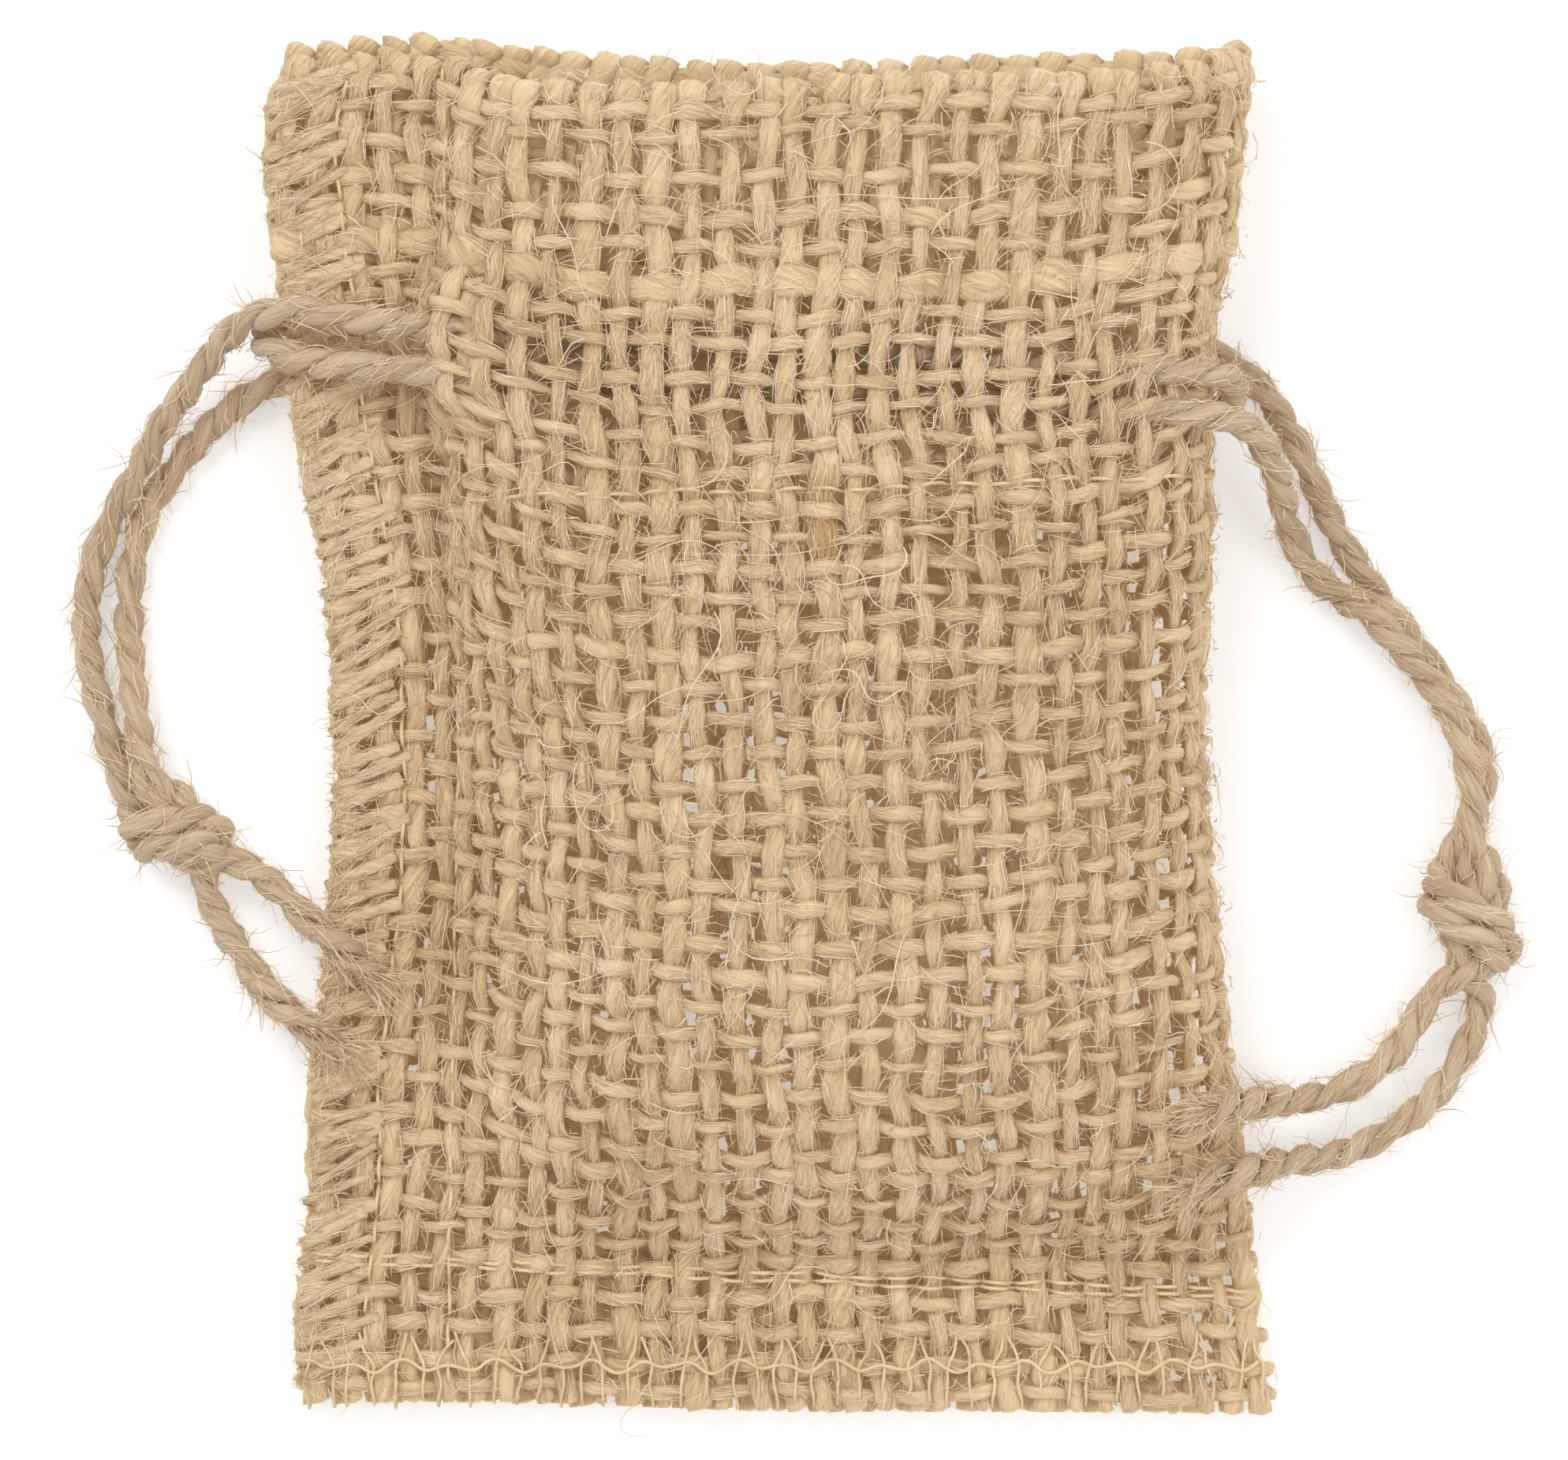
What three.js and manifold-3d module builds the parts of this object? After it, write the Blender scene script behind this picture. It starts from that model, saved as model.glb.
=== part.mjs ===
// Drawstring gift pouch of plain-weave jute, lying on its back with the mouth towards +Y.
// Millimetres, +Z up. Origin: the middle of the pouch's footprint, on the surface it lies on.
import * as THREE from "three";
import { mergeVertices } from "three/addons/utils/BufferGeometryUtils.js";
import Module from "manifold-3d";

const wasm = await Module();
wasm.setup();

// Driving dimensions
const TOUCH_GAP = 0.3; // between pieces that touch
const CLOTH = 1.0; // thickness of one layer of cloth
const FACING = 0.9; // thickness of the turned-in hem
const CORD_DIAMETER = 2.4;
const THREAD_DIAMETER = 0.5;
const POUCH_BOTTOM = -42; // stitch line of the bottom seam
const POUCH_TOP = 52.5; // highest point of the back panel's mouth edge
const FRONT_MOUTH_DROP = 4.8; // the front panel's mouth edge lies this much lower
const BOTTOM_ALLOWANCE = 10.5; // from the bottom stitch line to the cut edge
const BOTTOM_HALF_WIDTH = 39; // the bottom corner furthest from the middle
const HEM_STITCH_Y = 18.6; // stitch line that closes the casing
const SEAM_THICKNESS = 2.4; // the sewn layers outside the seams
const CORD_TILT = THREE.MathUtils.degToRad(3.3); // the casing runs down to the right
const CASING_HALF_HEIGHT = 7.4; // along Y, each side of the casing's middle line
const CASING_FADE = 1.4; // over which the casing opens and closes
const CASING_MIDDLE_Y = 28.4;
const HEM_TOP_STEP = 0.6; // the turned-in hem ends this far inside the mouth edge
const OVERCUT = 0.5; // how far a cutting solid runs past the face it cuts
const BACK_SQUARE = 8; // how square the back panel's sides are
const BACK_FLATNESS = 1.06; // over 1, so that most of the back panel lies flat
const SECTION_SIDES = 32;
const PASSAGE_CLEARANCE = 0.5; // round the cords where they go through the cloth
const BODY_RINGS = 16;
const HEM_RINGS = 9;
const CASING_ROOM = 0.5; // above the cords in the front casing
const HEM_CLEARANCE = 0.4; // between the cloth and its turned-in hem
const KNOT_LEFT = [10.4, 7, 5.4];
const KNOT_RIGHT = [9, 11.6, 5.6];

const BOTTOM_EDGE = POUCH_BOTTOM - BOTTOM_ALLOWANCE;
const CORD_RADIUS = CORD_DIAMETER / 2;

// Outline stations from the bottom stitch line to the mouth, equally spaced along Y:
// seam = left side seam, fold = right folded edge, edge = outer edge of the left seam allowance,
// height = how far the front panel stands up, seamZ and foldZ = heights of the two sides' middles,
// square = how square the cross-section is.
const STATIONS = [
  { seam: -25.4, fold: 37.3, edge: -36.6, height: 2.6, seamZ: 1.3, foldZ: 1.3, square: 2.2 },
  { seam: -25.2, fold: 35.9, edge: -35.9, height: 12.5, seamZ: 1.3, foldZ: 3, square: 2.4 },
  { seam: -25, fold: 34.2, edge: -35.1, height: 16, seamZ: 1.3, foldZ: 4, square: 2.6 },
  { seam: -24.8, fold: 33.3, edge: -34.1, height: 17, seamZ: 1.3, foldZ: 4.5, square: 2.8 },
  { seam: -24.6, fold: 32.5, edge: -34.1, height: 17, seamZ: 1.3, foldZ: 4.5, square: 3.2 },
  { seam: -24.6, fold: 32.6, edge: -34.4, height: 16.4, seamZ: 2.6, foldZ: 5, square: 5 },
  { seam: -24.8, fold: 33.2, edge: -36.4, height: 15.2, seamZ: 5.6, foldZ: 6, square: 8 },
  { seam: -25.2, fold: 33, edge: -37.1, height: 15, seamZ: 6, foldZ: 6.5, square: 8 },
  { seam: -25.6, fold: 35.3, edge: -39, height: 13.8, seamZ: 5.6, foldZ: 6, square: 7 },
  { seam: -25.8, fold: 36.4, edge: -37.4, height: 13, seamZ: 5, foldZ: 6, square: 6 },
];

const profileCurves = {};
for (const key of Object.keys(STATIONS[0])) {
  const points = STATIONS.map((station, i) => new THREE.Vector2(i, station[key]));
  profileCurves[key] = new THREE.SplineCurve(points);
}

function profile(key, y) {
  const t = (y - POUCH_BOTTOM) / (POUCH_TOP - POUCH_BOTTOM);
  return profileCurves[key].getPoint(THREE.MathUtils.clamp(t, 0, 1)).y;
}

// A point of the pouch's cross-section at height y: angle 0 is the left seam, PI the right fold,
// below PI the front panel and above it the back panel. inset shrinks the section all round.
function sectionPoint(angle, y, inset) {
  const left = profile("seam", y) + inset;
  const right = profile("fold", y) - inset;
  const u = (1 - Math.cos(angle)) / 2;
  const sideZ = THREE.MathUtils.lerp(profile("seamZ", y), profile("foldZ", y), u);
  const x = THREE.MathUtils.lerp(left, right, u);
  const aside = Math.abs(2 * u - 1);
  if (angle <= Math.PI) {
    const rise = Math.sqrt(1 - aside ** profile("square", y));
    return [x, sideZ + (profile("height", y) - inset - sideZ) * rise];
  }
  const fall = Math.min(1, BACK_FLATNESS * Math.sqrt(1 - aside ** BACK_SQUARE));
  return [x, sideZ - (sideZ - inset) * fall];
}

function frontMouthDrop(angle) {
  return FRONT_MOUTH_DROP * Math.max(0, Math.sin(angle)) ** 0.5;
}

// Moves every vertex of a geometry by a function and merges the shared ones.
function reshape(geometry, place) {
  geometry.deleteAttribute("normal");
  geometry.deleteAttribute("uv");
  const merged = mergeVertices(geometry, 1e-4);
  const position = merged.attributes.position;
  for (let i = 0; i < position.count; i++) {
    position.setXYZ(i, ...place(position.getX(i), position.getY(i), position.getZ(i)));
  }
  return merged;
}

function toSolid(geometry) {
  const plain = mergeVertices(geometry, 1e-4);
  return new wasm.Manifold(new wasm.Mesh({
    numProp: 3,
    vertProperties: Float32Array.from(plain.attributes.position.array),
    triVerts: Uint32Array.from(plain.index.array),
  }));
}

function toGeometry(solid) {
  const mesh = solid.getMesh();
  const geometry = new THREE.BufferGeometry();
  geometry.setAttribute("position", new THREE.BufferAttribute(mesh.vertProperties, 3));
  geometry.setIndex(new THREE.BufferAttribute(mesh.triVerts, 1));
  return geometry;
}

// A closed tapering sack: a capped cylinder whose rings follow the pouch's sections.
// insetAt gives how far each point lies inside the pouch's outer surface.
function sack(insetAt, bottom, top, rings) {
  const cylinder = new THREE.CylinderGeometry(1, 1, 1, SECTION_SIDES, rings);
  return reshape(cylinder, (cx, cy, cz) => {
    const angle = (Math.atan2(cz, -cx) + 2 * Math.PI) % (2 * Math.PI);
    const share = cy + 0.5;
    const y = bottom + (top - bottom) * share;
    const radius = Math.hypot(cx, cz);
    const [x, z] = sectionPoint(angle, y, insetAt(sectionPoint(angle, y, 0)[0], y));
    const middleX = (profile("seam", y) + profile("fold", y)) / 2;
    const middleZ = profile("height", y) / 2;
    const drop = frontMouthDrop(angle) * share ** 4 * radius;
    return [
      THREE.MathUtils.lerp(middleX, x, radius),
      y - drop,
      THREE.MathUtils.lerp(middleZ, z, radius),
    ];
  });
}

// A closed tube of CORD_DIAMETER or thinner along hand-chosen points.
function tube(points, diameter, steps, sides = 8) {
  const places = points.map((point) => new THREE.Vector3(...point));
  const curve = new THREE.CatmullRomCurve3(places, false, "centripetal");
  const section = new THREE.Shape();
  section.absarc(0, 0, diameter / 2, 0, 2 * Math.PI, false);
  return new THREE.ExtrudeGeometry(section, { steps, curveSegments: sides / 2, extrudePath: curve });
}

// Cord legs inside the casing are straight and parallel, so that they can slide.
const FRONT_CORD_Z = profile("height", CASING_MIDDLE_Y) - CLOTH - CASING_ROOM - CORD_RADIUS;
const BACK_CORD_Z = CLOTH + TOUCH_GAP + CORD_RADIUS;

function legPoint(x, yAtLeftSeam, z) {
  return [x, yAtLeftSeam - (x + 28) * Math.tan(CORD_TILT), z];
}

// Y of each leg where it passes the left seam.
const LEFT_FRONT_Y = 30.5;
const LEFT_BACK_Y = 27.2;
const RIGHT_FRONT_Y = 27.3;
const RIGHT_BACK_Y = 32.8;
const LEFT_LEG_END_X = -1;
const RIGHT_LEG_END_X = 5;
const LEFT_EXIT_X = -26;
const RIGHT_EXIT_X = 33;
const FLOOR_Z = CORD_RADIUS + 0.05; // centre of a cord that lies on the surface
const TAIL_ON_SEAM_Z = SEAM_THICKNESS + THREAD_DIAMETER + 2 * TOUCH_GAP + CORD_RADIUS;

// Height of a cord's centre where it lies on the front panel, with room under it.
function onPouch(x, y, room) {
  const share = (x - profile("seam", y)) / (profile("fold", y) - profile("seam", y));
  const angle = Math.acos(1 - 2 * THREE.MathUtils.clamp(share, 0, 1));
  return sectionPoint(angle, y, 0)[1] + CORD_RADIUS + room;
}

const leftFrontRoute = [
  legPoint(LEFT_LEG_END_X, LEFT_FRONT_Y, FRONT_CORD_Z),
  legPoint(-14, LEFT_FRONT_Y, FRONT_CORD_Z),
  legPoint(LEFT_EXIT_X + 5, LEFT_FRONT_Y, FRONT_CORD_Z),
  legPoint(LEFT_EXIT_X, LEFT_FRONT_Y, FRONT_CORD_Z),
  [-31.5, 31, 12],
  [-36.8, 31.9, 10.4],
  [-41.2, 30.8, 7.2],
  [-44.1, 27.5, 4.8],
  [-46.8, 24.2, 3.6],
  [-48.9, 20.3, 3],
  [-50.7, 17.4, 2.4],
  [-52.3, 14.2, 1.4],
  [-53.2, 10.4, FLOOR_Z],
  [-53.2, 6, FLOOR_Z],
  [-52.2, 1.6, FLOOR_Z],
  [-50.3, -3.7, 1.8],
];
const leftBackRoute = [
  legPoint(LEFT_LEG_END_X, LEFT_BACK_Y, BACK_CORD_Z),
  legPoint(-14, LEFT_BACK_Y, BACK_CORD_Z),
  legPoint(LEFT_EXIT_X + 5, LEFT_BACK_Y, BACK_CORD_Z),
  legPoint(LEFT_EXIT_X, LEFT_BACK_Y, BACK_CORD_Z),
  legPoint(-34, LEFT_BACK_Y, BACK_CORD_Z),
  [-38.4, 26.9, 1.9],
  [-42, 24.9, FLOOR_Z],
  [-44.8, 22.2, FLOOR_Z],
  [-46.9, 19.6, FLOOR_Z],
  [-48.4, 17.2, FLOOR_Z],
  [-49.5, 14.2, FLOOR_Z],
  [-50, 9.6, FLOOR_Z],
  [-49.8, 5, 1.6],
  [-49.3, 1, 2.9],
  [-48.4, -2.8, 3.9],
];
const rightFrontRoute = [
  legPoint(RIGHT_LEG_END_X, RIGHT_FRONT_Y, FRONT_CORD_Z),
  legPoint(18, RIGHT_FRONT_Y, FRONT_CORD_Z),
  legPoint(RIGHT_EXIT_X - 5, RIGHT_FRONT_Y, FRONT_CORD_Z),
  legPoint(RIGHT_EXIT_X, RIGHT_FRONT_Y, FRONT_CORD_Z),
  [36, 22.8, 11.4],
  [38.2, 19.7, 7.8],
  [39.4, 15.9, 3.4],
  [41, 12.6, 1.7],
  [43.1, 10.5, 2.7],
  [45.4, 9.1, 3.6],
  [48.8, 5.5, 3.7],
  [52.2, 0.6, 3.7],
  [53.4, -3.6, 3.8],
  [53.5, -7.6, 4.1],
];
const rightBackRoute = [
  legPoint(RIGHT_LEG_END_X, RIGHT_BACK_Y, BACK_CORD_Z),
  legPoint(18, RIGHT_BACK_Y, BACK_CORD_Z),
  legPoint(RIGHT_EXIT_X - 5, RIGHT_BACK_Y, BACK_CORD_Z),
  legPoint(RIGHT_EXIT_X, RIGHT_BACK_Y, BACK_CORD_Z),
  [36.8, 27, 1.7],
  [39.8, 22.8, FLOOR_Z],
  [43.4, 15, FLOOR_Z],
  [46.4, 10.5, FLOOR_Z],
  [50, 5.8, FLOOR_Z],
  [53.4, 0.6, FLOOR_Z],
  [54.8, -3.8, FLOOR_Z],
  [54.9, -7.9, 1.4],
];
const leftTailUpper = [
  [-41.5, -10, 2.9],
  [-38.4, -12.2, 3.8],
  [-34.6, -15.8, TAIL_ON_SEAM_Z],
  [-30.4, -19.4, TAIL_ON_SEAM_Z],
];
const leftTailLower = [
  [-44.2, -11.9, 1.6],
  [-41.6, -16.8, 2.2],
  [-37.6, -21.6, 4.2],
  [-32.6, -25, TAIL_ON_SEAM_Z],
];
const rightTailInner = [
  [51.5, -19.2, 2.5],
  [47.4, -25.2, 2],
  [42.8, -28, 2.6],
  [38.6, -28.4, 4.8],
  [35.2, -28.5, onPouch(35.2, -28.5, 2.6)],
  [31.6, -29.8, onPouch(31.6, -29.8, 1.2)],
];
const rightTailOuter = [
  [54.6, -20.2, 1.5],
  [52, -26.8, FLOOR_Z],
  [48.4, -30.4, FLOOR_Z],
  [43.4, -32.8, 1.6],
  [39.4, -33.1, onPouch(39.4, -33.1, 0.9)],
  [35.4, -33.8, onPouch(35.4, -33.8, 2.8)],
  [29.6, -36, onPouch(29.6, -36, 1.5)],
];
// The right drawcord's bight passes round the left side, and the left drawcord's round the right.
const bightAtLeft = [
  legPoint(RIGHT_LEG_END_X - 2 * TOUCH_GAP, RIGHT_FRONT_Y, FRONT_CORD_Z),
  legPoint(-14, RIGHT_FRONT_Y, FRONT_CORD_Z),
  legPoint(LEFT_EXIT_X, RIGHT_FRONT_Y, FRONT_CORD_Z),
  [-31.5, 27.6, 11.4],
  [-36.5, 28.2, 9.7],
  [-39.3, 29.9, 6],
  [-37, 32, 2.6],
  legPoint(-32, RIGHT_BACK_Y, BACK_CORD_Z),
  legPoint(-14, RIGHT_BACK_Y, BACK_CORD_Z),
  legPoint(RIGHT_LEG_END_X - 2 * TOUCH_GAP, RIGHT_BACK_Y, BACK_CORD_Z),
];
const bightAtRight = [
  legPoint(LEFT_LEG_END_X + 2 * TOUCH_GAP, LEFT_FRONT_Y, FRONT_CORD_Z),
  legPoint(16, LEFT_FRONT_Y, FRONT_CORD_Z),
  legPoint(30, LEFT_FRONT_Y, FRONT_CORD_Z),
  [33.6, 26.9, 11.2],
  [35, 25.8, 7.4],
  [33.8, 24.4, 3.8],
  legPoint(29, LEFT_BACK_Y, BACK_CORD_Z),
  legPoint(16, LEFT_BACK_Y, BACK_CORD_Z),
  legPoint(LEFT_LEG_END_X + 2 * TOUCH_GAP, LEFT_BACK_Y, BACK_CORD_Z),
];

// Passages through the cloth's sides: straight ones for the legs, which slide, and the bights' own.
function casingPassages() {
  const width = CORD_DIAMETER + 2 * PASSAGE_CLEARANCE;
  const runs = [
    [leftFrontRoute[1], legPoint(-44, LEFT_FRONT_Y, FRONT_CORD_Z)],
    [leftBackRoute[1], legPoint(-44, LEFT_BACK_Y, BACK_CORD_Z)],
    [rightFrontRoute[1], legPoint(44, RIGHT_FRONT_Y, FRONT_CORD_Z)],
    [rightBackRoute[1], legPoint(44, RIGHT_BACK_Y, BACK_CORD_Z)],
  ];
  const straight = runs.map(([from, to]) => tube([from, to], width, 1));
  const bights = [bightAtLeft, bightAtRight].map((route) => tube(route, width, 20));
  return [...straight, ...bights].map((passage) => toSolid(withoutExtras(passage)));
}

function withoutExtras(geometry) {
  geometry.deleteAttribute("normal");
  geometry.deleteAttribute("uv");
  return geometry;
}

function pouchCloth() {
  let solid = toSolid(sack(() => 0, POUCH_BOTTOM, POUCH_TOP, BODY_RINGS));
  const hollow = sack(() => CLOTH, POUCH_BOTTOM + CLOTH, POUCH_TOP + OVERCUT, BODY_RINGS);
  solid = solid.subtract(toSolid(hollow));
  for (const passage of casingPassages()) {
    solid = solid.subtract(passage);
  }
  return toGeometry(solid);
}

// How far the turned-in hem stands off the cloth: the casing is open around the cords.
function casingRoom(x, y) {
  const along = y - (CASING_MIDDLE_Y - x * Math.tan(CORD_TILT));
  const low = CASING_HALF_HEIGHT - CASING_FADE;
  const open = 1 - THREE.MathUtils.smoothstep(Math.abs(along), low, low + 2 * CASING_FADE);
  const casingFloorZ = FRONT_CORD_Z - CORD_RADIUS - TOUCH_GAP;
  return THREE.MathUtils.lerp(HEM_CLEARANCE, profile("height", y) - CLOTH - casingFloorZ, open);
}

// The hem turned in at the mouth: a band inside the cloth, all round.
function hemFacing() {
  const outside = (x, y) => CLOTH + casingRoom(x, y);
  const inside = (x, y) => outside(x, y) + FACING;
  const top = POUCH_TOP - HEM_TOP_STEP;
  const band = toSolid(sack(outside, HEM_STITCH_Y, top, HEM_RINGS));
  const hollow = sack(inside, HEM_STITCH_Y - OVERCUT, top + OVERCUT, HEM_RINGS);
  return toGeometry(band.subtract(toSolid(hollow)));
}

// The sewn layers lie on the surface, and lift with the side seam towards the mouth.
function seamLift(y) {
  return Math.max(0, profile("seamZ", y) - STATIONS[0].seamZ);
}

// Flat ribbon of sewn layers outside the left seam.
function leftSeamAllowance() {
  const box = new THREE.BoxGeometry(1, 1, 1, 3, 20, 1);
  return reshape(box, (bx, by, bz) => {
    const y = THREE.MathUtils.lerp(POUCH_BOTTOM + TOUCH_GAP, POUCH_TOP, by + 0.5);
    const x = THREE.MathUtils.lerp(profile("edge", y), profile("seam", y) - TOUCH_GAP, bx + 0.5);
    return [x, y, seamLift(y) + SEAM_THICKNESS * (bz + 0.5)];
  });
}

function bottomSeamAllowance() {
  const box = new THREE.BoxGeometry(1, 1, 1, 16, 2, 1);
  return reshape(box, (bx, by, bz) => {
    const share = bx + 0.5;
    const y = THREE.MathUtils.lerp(BOTTOM_EDGE, POUCH_BOTTOM - TOUCH_GAP, by + 0.5);
    const left = THREE.MathUtils.lerp(-36.4, profile("edge", POUCH_BOTTOM), by + 0.5);
    const right = THREE.MathUtils.lerp(BOTTOM_HALF_WIDTH, profile("fold", POUCH_BOTTOM), by + 0.5);
    return [THREE.MathUtils.lerp(left, right, share), y, SEAM_THICKNESS * (bz + 0.5)];
  });
}

const THREAD_LIFT = TOUCH_GAP + 0.1 + THREAD_DIAMETER / 2;
const SEAM_THREAD_ASIDE = 1.4; // how far the seam threads lie from the pouch's own edge
const THREAD_END = 3; // the side seam's threads stop this far above the bottom seam
const BOTTOM_THREAD_ENDS = [-34, 36];
const OVERLOCK_NEAR = 1; // from the cut edge
const OVERLOCK_FAR = 5;

function linePoints(count, place) {
  return Array.from({ length: count + 1 }, (_, i) => place(i / count, i));
}

function seamTop(y) {
  return seamLift(y) + SEAM_THICKNESS;
}

function leftSeamThread() {
  const points = linePoints(12, (t) => {
    const y = THREE.MathUtils.lerp(POUCH_BOTTOM + THREAD_END, HEM_STITCH_Y - 2, t);
    return [profile("seam", y) - SEAM_THREAD_ASIDE, y, seamTop(y) + THREAD_LIFT];
  });
  return tube(points, THREAD_DIAMETER, 24, 6);
}

function leftOverlockThread() {
  const points = linePoints(30, (t, i) => {
    const y = THREE.MathUtils.lerp(POUCH_BOTTOM + THREAD_END, CASING_MIDDLE_Y - CASING_HALF_HEIGHT, t);
    const reach = i % 2 === 0 ? OVERLOCK_NEAR : OVERLOCK_FAR;
    return [profile("edge", y) + reach, y, seamTop(y) + THREAD_LIFT];
  });
  return tube(points, THREAD_DIAMETER, 60, 6);
}

function bottomSeamThread() {
  const points = linePoints(10, (t) => [
    THREE.MathUtils.lerp(...BOTTOM_THREAD_ENDS, t),
    POUCH_BOTTOM - SEAM_THREAD_ASIDE,
    SEAM_THICKNESS + THREAD_LIFT,
  ]);
  return tube(points, THREAD_DIAMETER, 14, 6);
}

function bottomOverlockThread() {
  const points = linePoints(34, (t, i) => {
    const y = BOTTOM_EDGE + (i % 2 === 0 ? OVERLOCK_NEAR : OVERLOCK_FAR);
    return [THREE.MathUtils.lerp(...BOTTOM_THREAD_ENDS, t), y, SEAM_THICKNESS + THREAD_LIFT];
  });
  return tube(points, THREAD_DIAMETER, 68, 6);
}

const HEM_THREAD_END = 0.75; // angle at which the casing's stitch line starts and ends
const HEM_THREAD_DROP = 2.2;
const HEM_THREAD_RISE = 1.4;

// Stitch line of the casing on the front (side = 0) or inside the back (side = 1).
function hemThread(side) {
  const points = linePoints(12, (t) => {
    const across = THREE.MathUtils.lerp(HEM_THREAD_END, Math.PI - HEM_THREAD_END, t);
    const angle = side === 0 ? across : 2 * Math.PI - across;
    const y = HEM_STITCH_Y - HEM_THREAD_DROP + HEM_THREAD_RISE * t;
    const inset = side === 0 ? -THREAD_LIFT : CLOTH + THREAD_LIFT;
    const [x, z] = sectionPoint(angle, y, inset);
    return [x, y, z];
  });
  return tube(points, THREAD_DIAMETER, 20, 6);
}

const CLOTH_COLOUR = 0xc2aa86;
const HEM_COLOUR = 0xbda27c;
const THREAD_COLOUR = 0xd2c096;
const CORD_COLOUR = 0xb59c7c;

function add(group, name, geometry, colour) {
  const material = new THREE.MeshStandardMaterial({ color: colour, roughness: 0.9, metalness: 0 });
  const mesh = new THREE.Mesh(geometry, material);
  mesh.name = name;
  group.add(mesh);
  return mesh;
}

function addKnot(group, name, size, place, turn) {
  const knot = add(group, name, new THREE.SphereGeometry(0.5, 14, 8), CORD_COLOUR);
  knot.scale.set(...size);
  knot.position.set(...place);
  knot.rotation.z = turn;
}

const pouch = new THREE.Group();

const cloth = new THREE.Group();
add(cloth, "pouch_cloth", pouchCloth(), CLOTH_COLOUR);
add(cloth, "hem_facing", hemFacing(), HEM_COLOUR);
add(cloth, "left_seam_allowance", leftSeamAllowance(), CLOTH_COLOUR);
add(cloth, "bottom_seam_allowance", bottomSeamAllowance(), CLOTH_COLOUR);
pouch.add(cloth);

const threads = new THREE.Group();
add(threads, "left_seam_thread", leftSeamThread(), THREAD_COLOUR);
add(threads, "left_overlock_thread", leftOverlockThread(), THREAD_COLOUR);
add(threads, "bottom_seam_thread", bottomSeamThread(), THREAD_COLOUR);
add(threads, "bottom_overlock_thread", bottomOverlockThread(), THREAD_COLOUR);
add(threads, "front_hem_thread", hemThread(0), THREAD_COLOUR);
add(threads, "back_hem_thread", hemThread(1), THREAD_COLOUR);
pouch.add(threads);

const leftCord = new THREE.Group();
add(leftCord, "left_cord_front_leg", tube(leftFrontRoute, CORD_DIAMETER, 22), CORD_COLOUR);
add(leftCord, "left_cord_back_leg", tube(leftBackRoute, CORD_DIAMETER, 20), CORD_COLOUR);
add(leftCord, "left_cord_bight", tube(bightAtRight, CORD_DIAMETER, 20), CORD_COLOUR);
add(leftCord, "left_cord_tail_upper", tube(leftTailUpper, CORD_DIAMETER, 5), CORD_COLOUR);
add(leftCord, "left_cord_tail_lower", tube(leftTailLower, CORD_DIAMETER, 6), CORD_COLOUR);
addKnot(leftCord, "left_knot", KNOT_LEFT, [-46.6, -7.4, KNOT_LEFT[2] / 2], -0.5);
pouch.add(leftCord);

const rightCord = new THREE.Group();
add(rightCord, "right_cord_front_leg", tube(rightFrontRoute, CORD_DIAMETER, 20), CORD_COLOUR);
add(rightCord, "right_cord_back_leg", tube(rightBackRoute, CORD_DIAMETER, 20), CORD_COLOUR);
add(rightCord, "right_cord_bight", tube(bightAtLeft, CORD_DIAMETER, 24), CORD_COLOUR);
add(rightCord, "right_cord_tail_inner", tube(rightTailInner, CORD_DIAMETER, 8), CORD_COLOUR);
add(rightCord, "right_cord_tail_outer", tube(rightTailOuter, CORD_DIAMETER, 8), CORD_COLOUR);
addKnot(rightCord, "right_knot", KNOT_RIGHT, [53.4, -14, KNOT_RIGHT[2] / 2], 0.12);
pouch.add(rightCord);

export default pouch;
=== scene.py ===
# %% [markdown]
# # A drawstring gift pouch of jute cloth
# The pouch lies on its back: one strip of open jute cloth folded at the right, sewn down the left
# and along the bottom, with a hem turned in at the mouth. Two twine drawcords run in the casing
# under that hem and are knotted at the sides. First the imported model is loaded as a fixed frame,
# so that each new piece can be made where the solid model says.

# %% Load the frame
import math

import bpy
import numpy as np
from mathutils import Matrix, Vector


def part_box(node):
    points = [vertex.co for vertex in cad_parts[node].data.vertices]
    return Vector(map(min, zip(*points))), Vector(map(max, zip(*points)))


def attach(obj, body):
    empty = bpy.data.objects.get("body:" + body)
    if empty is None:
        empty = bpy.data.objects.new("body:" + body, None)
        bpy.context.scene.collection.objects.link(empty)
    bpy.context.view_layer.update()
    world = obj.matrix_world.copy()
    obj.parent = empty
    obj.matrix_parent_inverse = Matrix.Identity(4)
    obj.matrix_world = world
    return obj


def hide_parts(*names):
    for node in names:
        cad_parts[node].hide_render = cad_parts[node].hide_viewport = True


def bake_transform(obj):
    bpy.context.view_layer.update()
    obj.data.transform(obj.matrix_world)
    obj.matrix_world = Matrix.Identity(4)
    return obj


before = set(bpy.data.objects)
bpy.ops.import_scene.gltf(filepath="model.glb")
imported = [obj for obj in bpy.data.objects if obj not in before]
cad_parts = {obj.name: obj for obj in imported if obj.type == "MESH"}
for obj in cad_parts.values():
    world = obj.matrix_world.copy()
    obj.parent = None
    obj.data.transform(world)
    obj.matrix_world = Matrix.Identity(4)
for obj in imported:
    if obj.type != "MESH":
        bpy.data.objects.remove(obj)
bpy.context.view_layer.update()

MM = 0.001
rng = np.random.default_rng(7)

# %% [markdown]
# ## Camera
# The pouch is looked at from straight above, as on a copy stand. A long lens from half a metre
# keeps the sides nearly upright, so the outline is true. An empty camera object is turned to
# look down, which is how it comes when its rotation is zero.

# %% Set the camera
CAMERA_HEIGHT = 0.506
VIEW_MIDDLE = (0.0006, 0.0)

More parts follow.
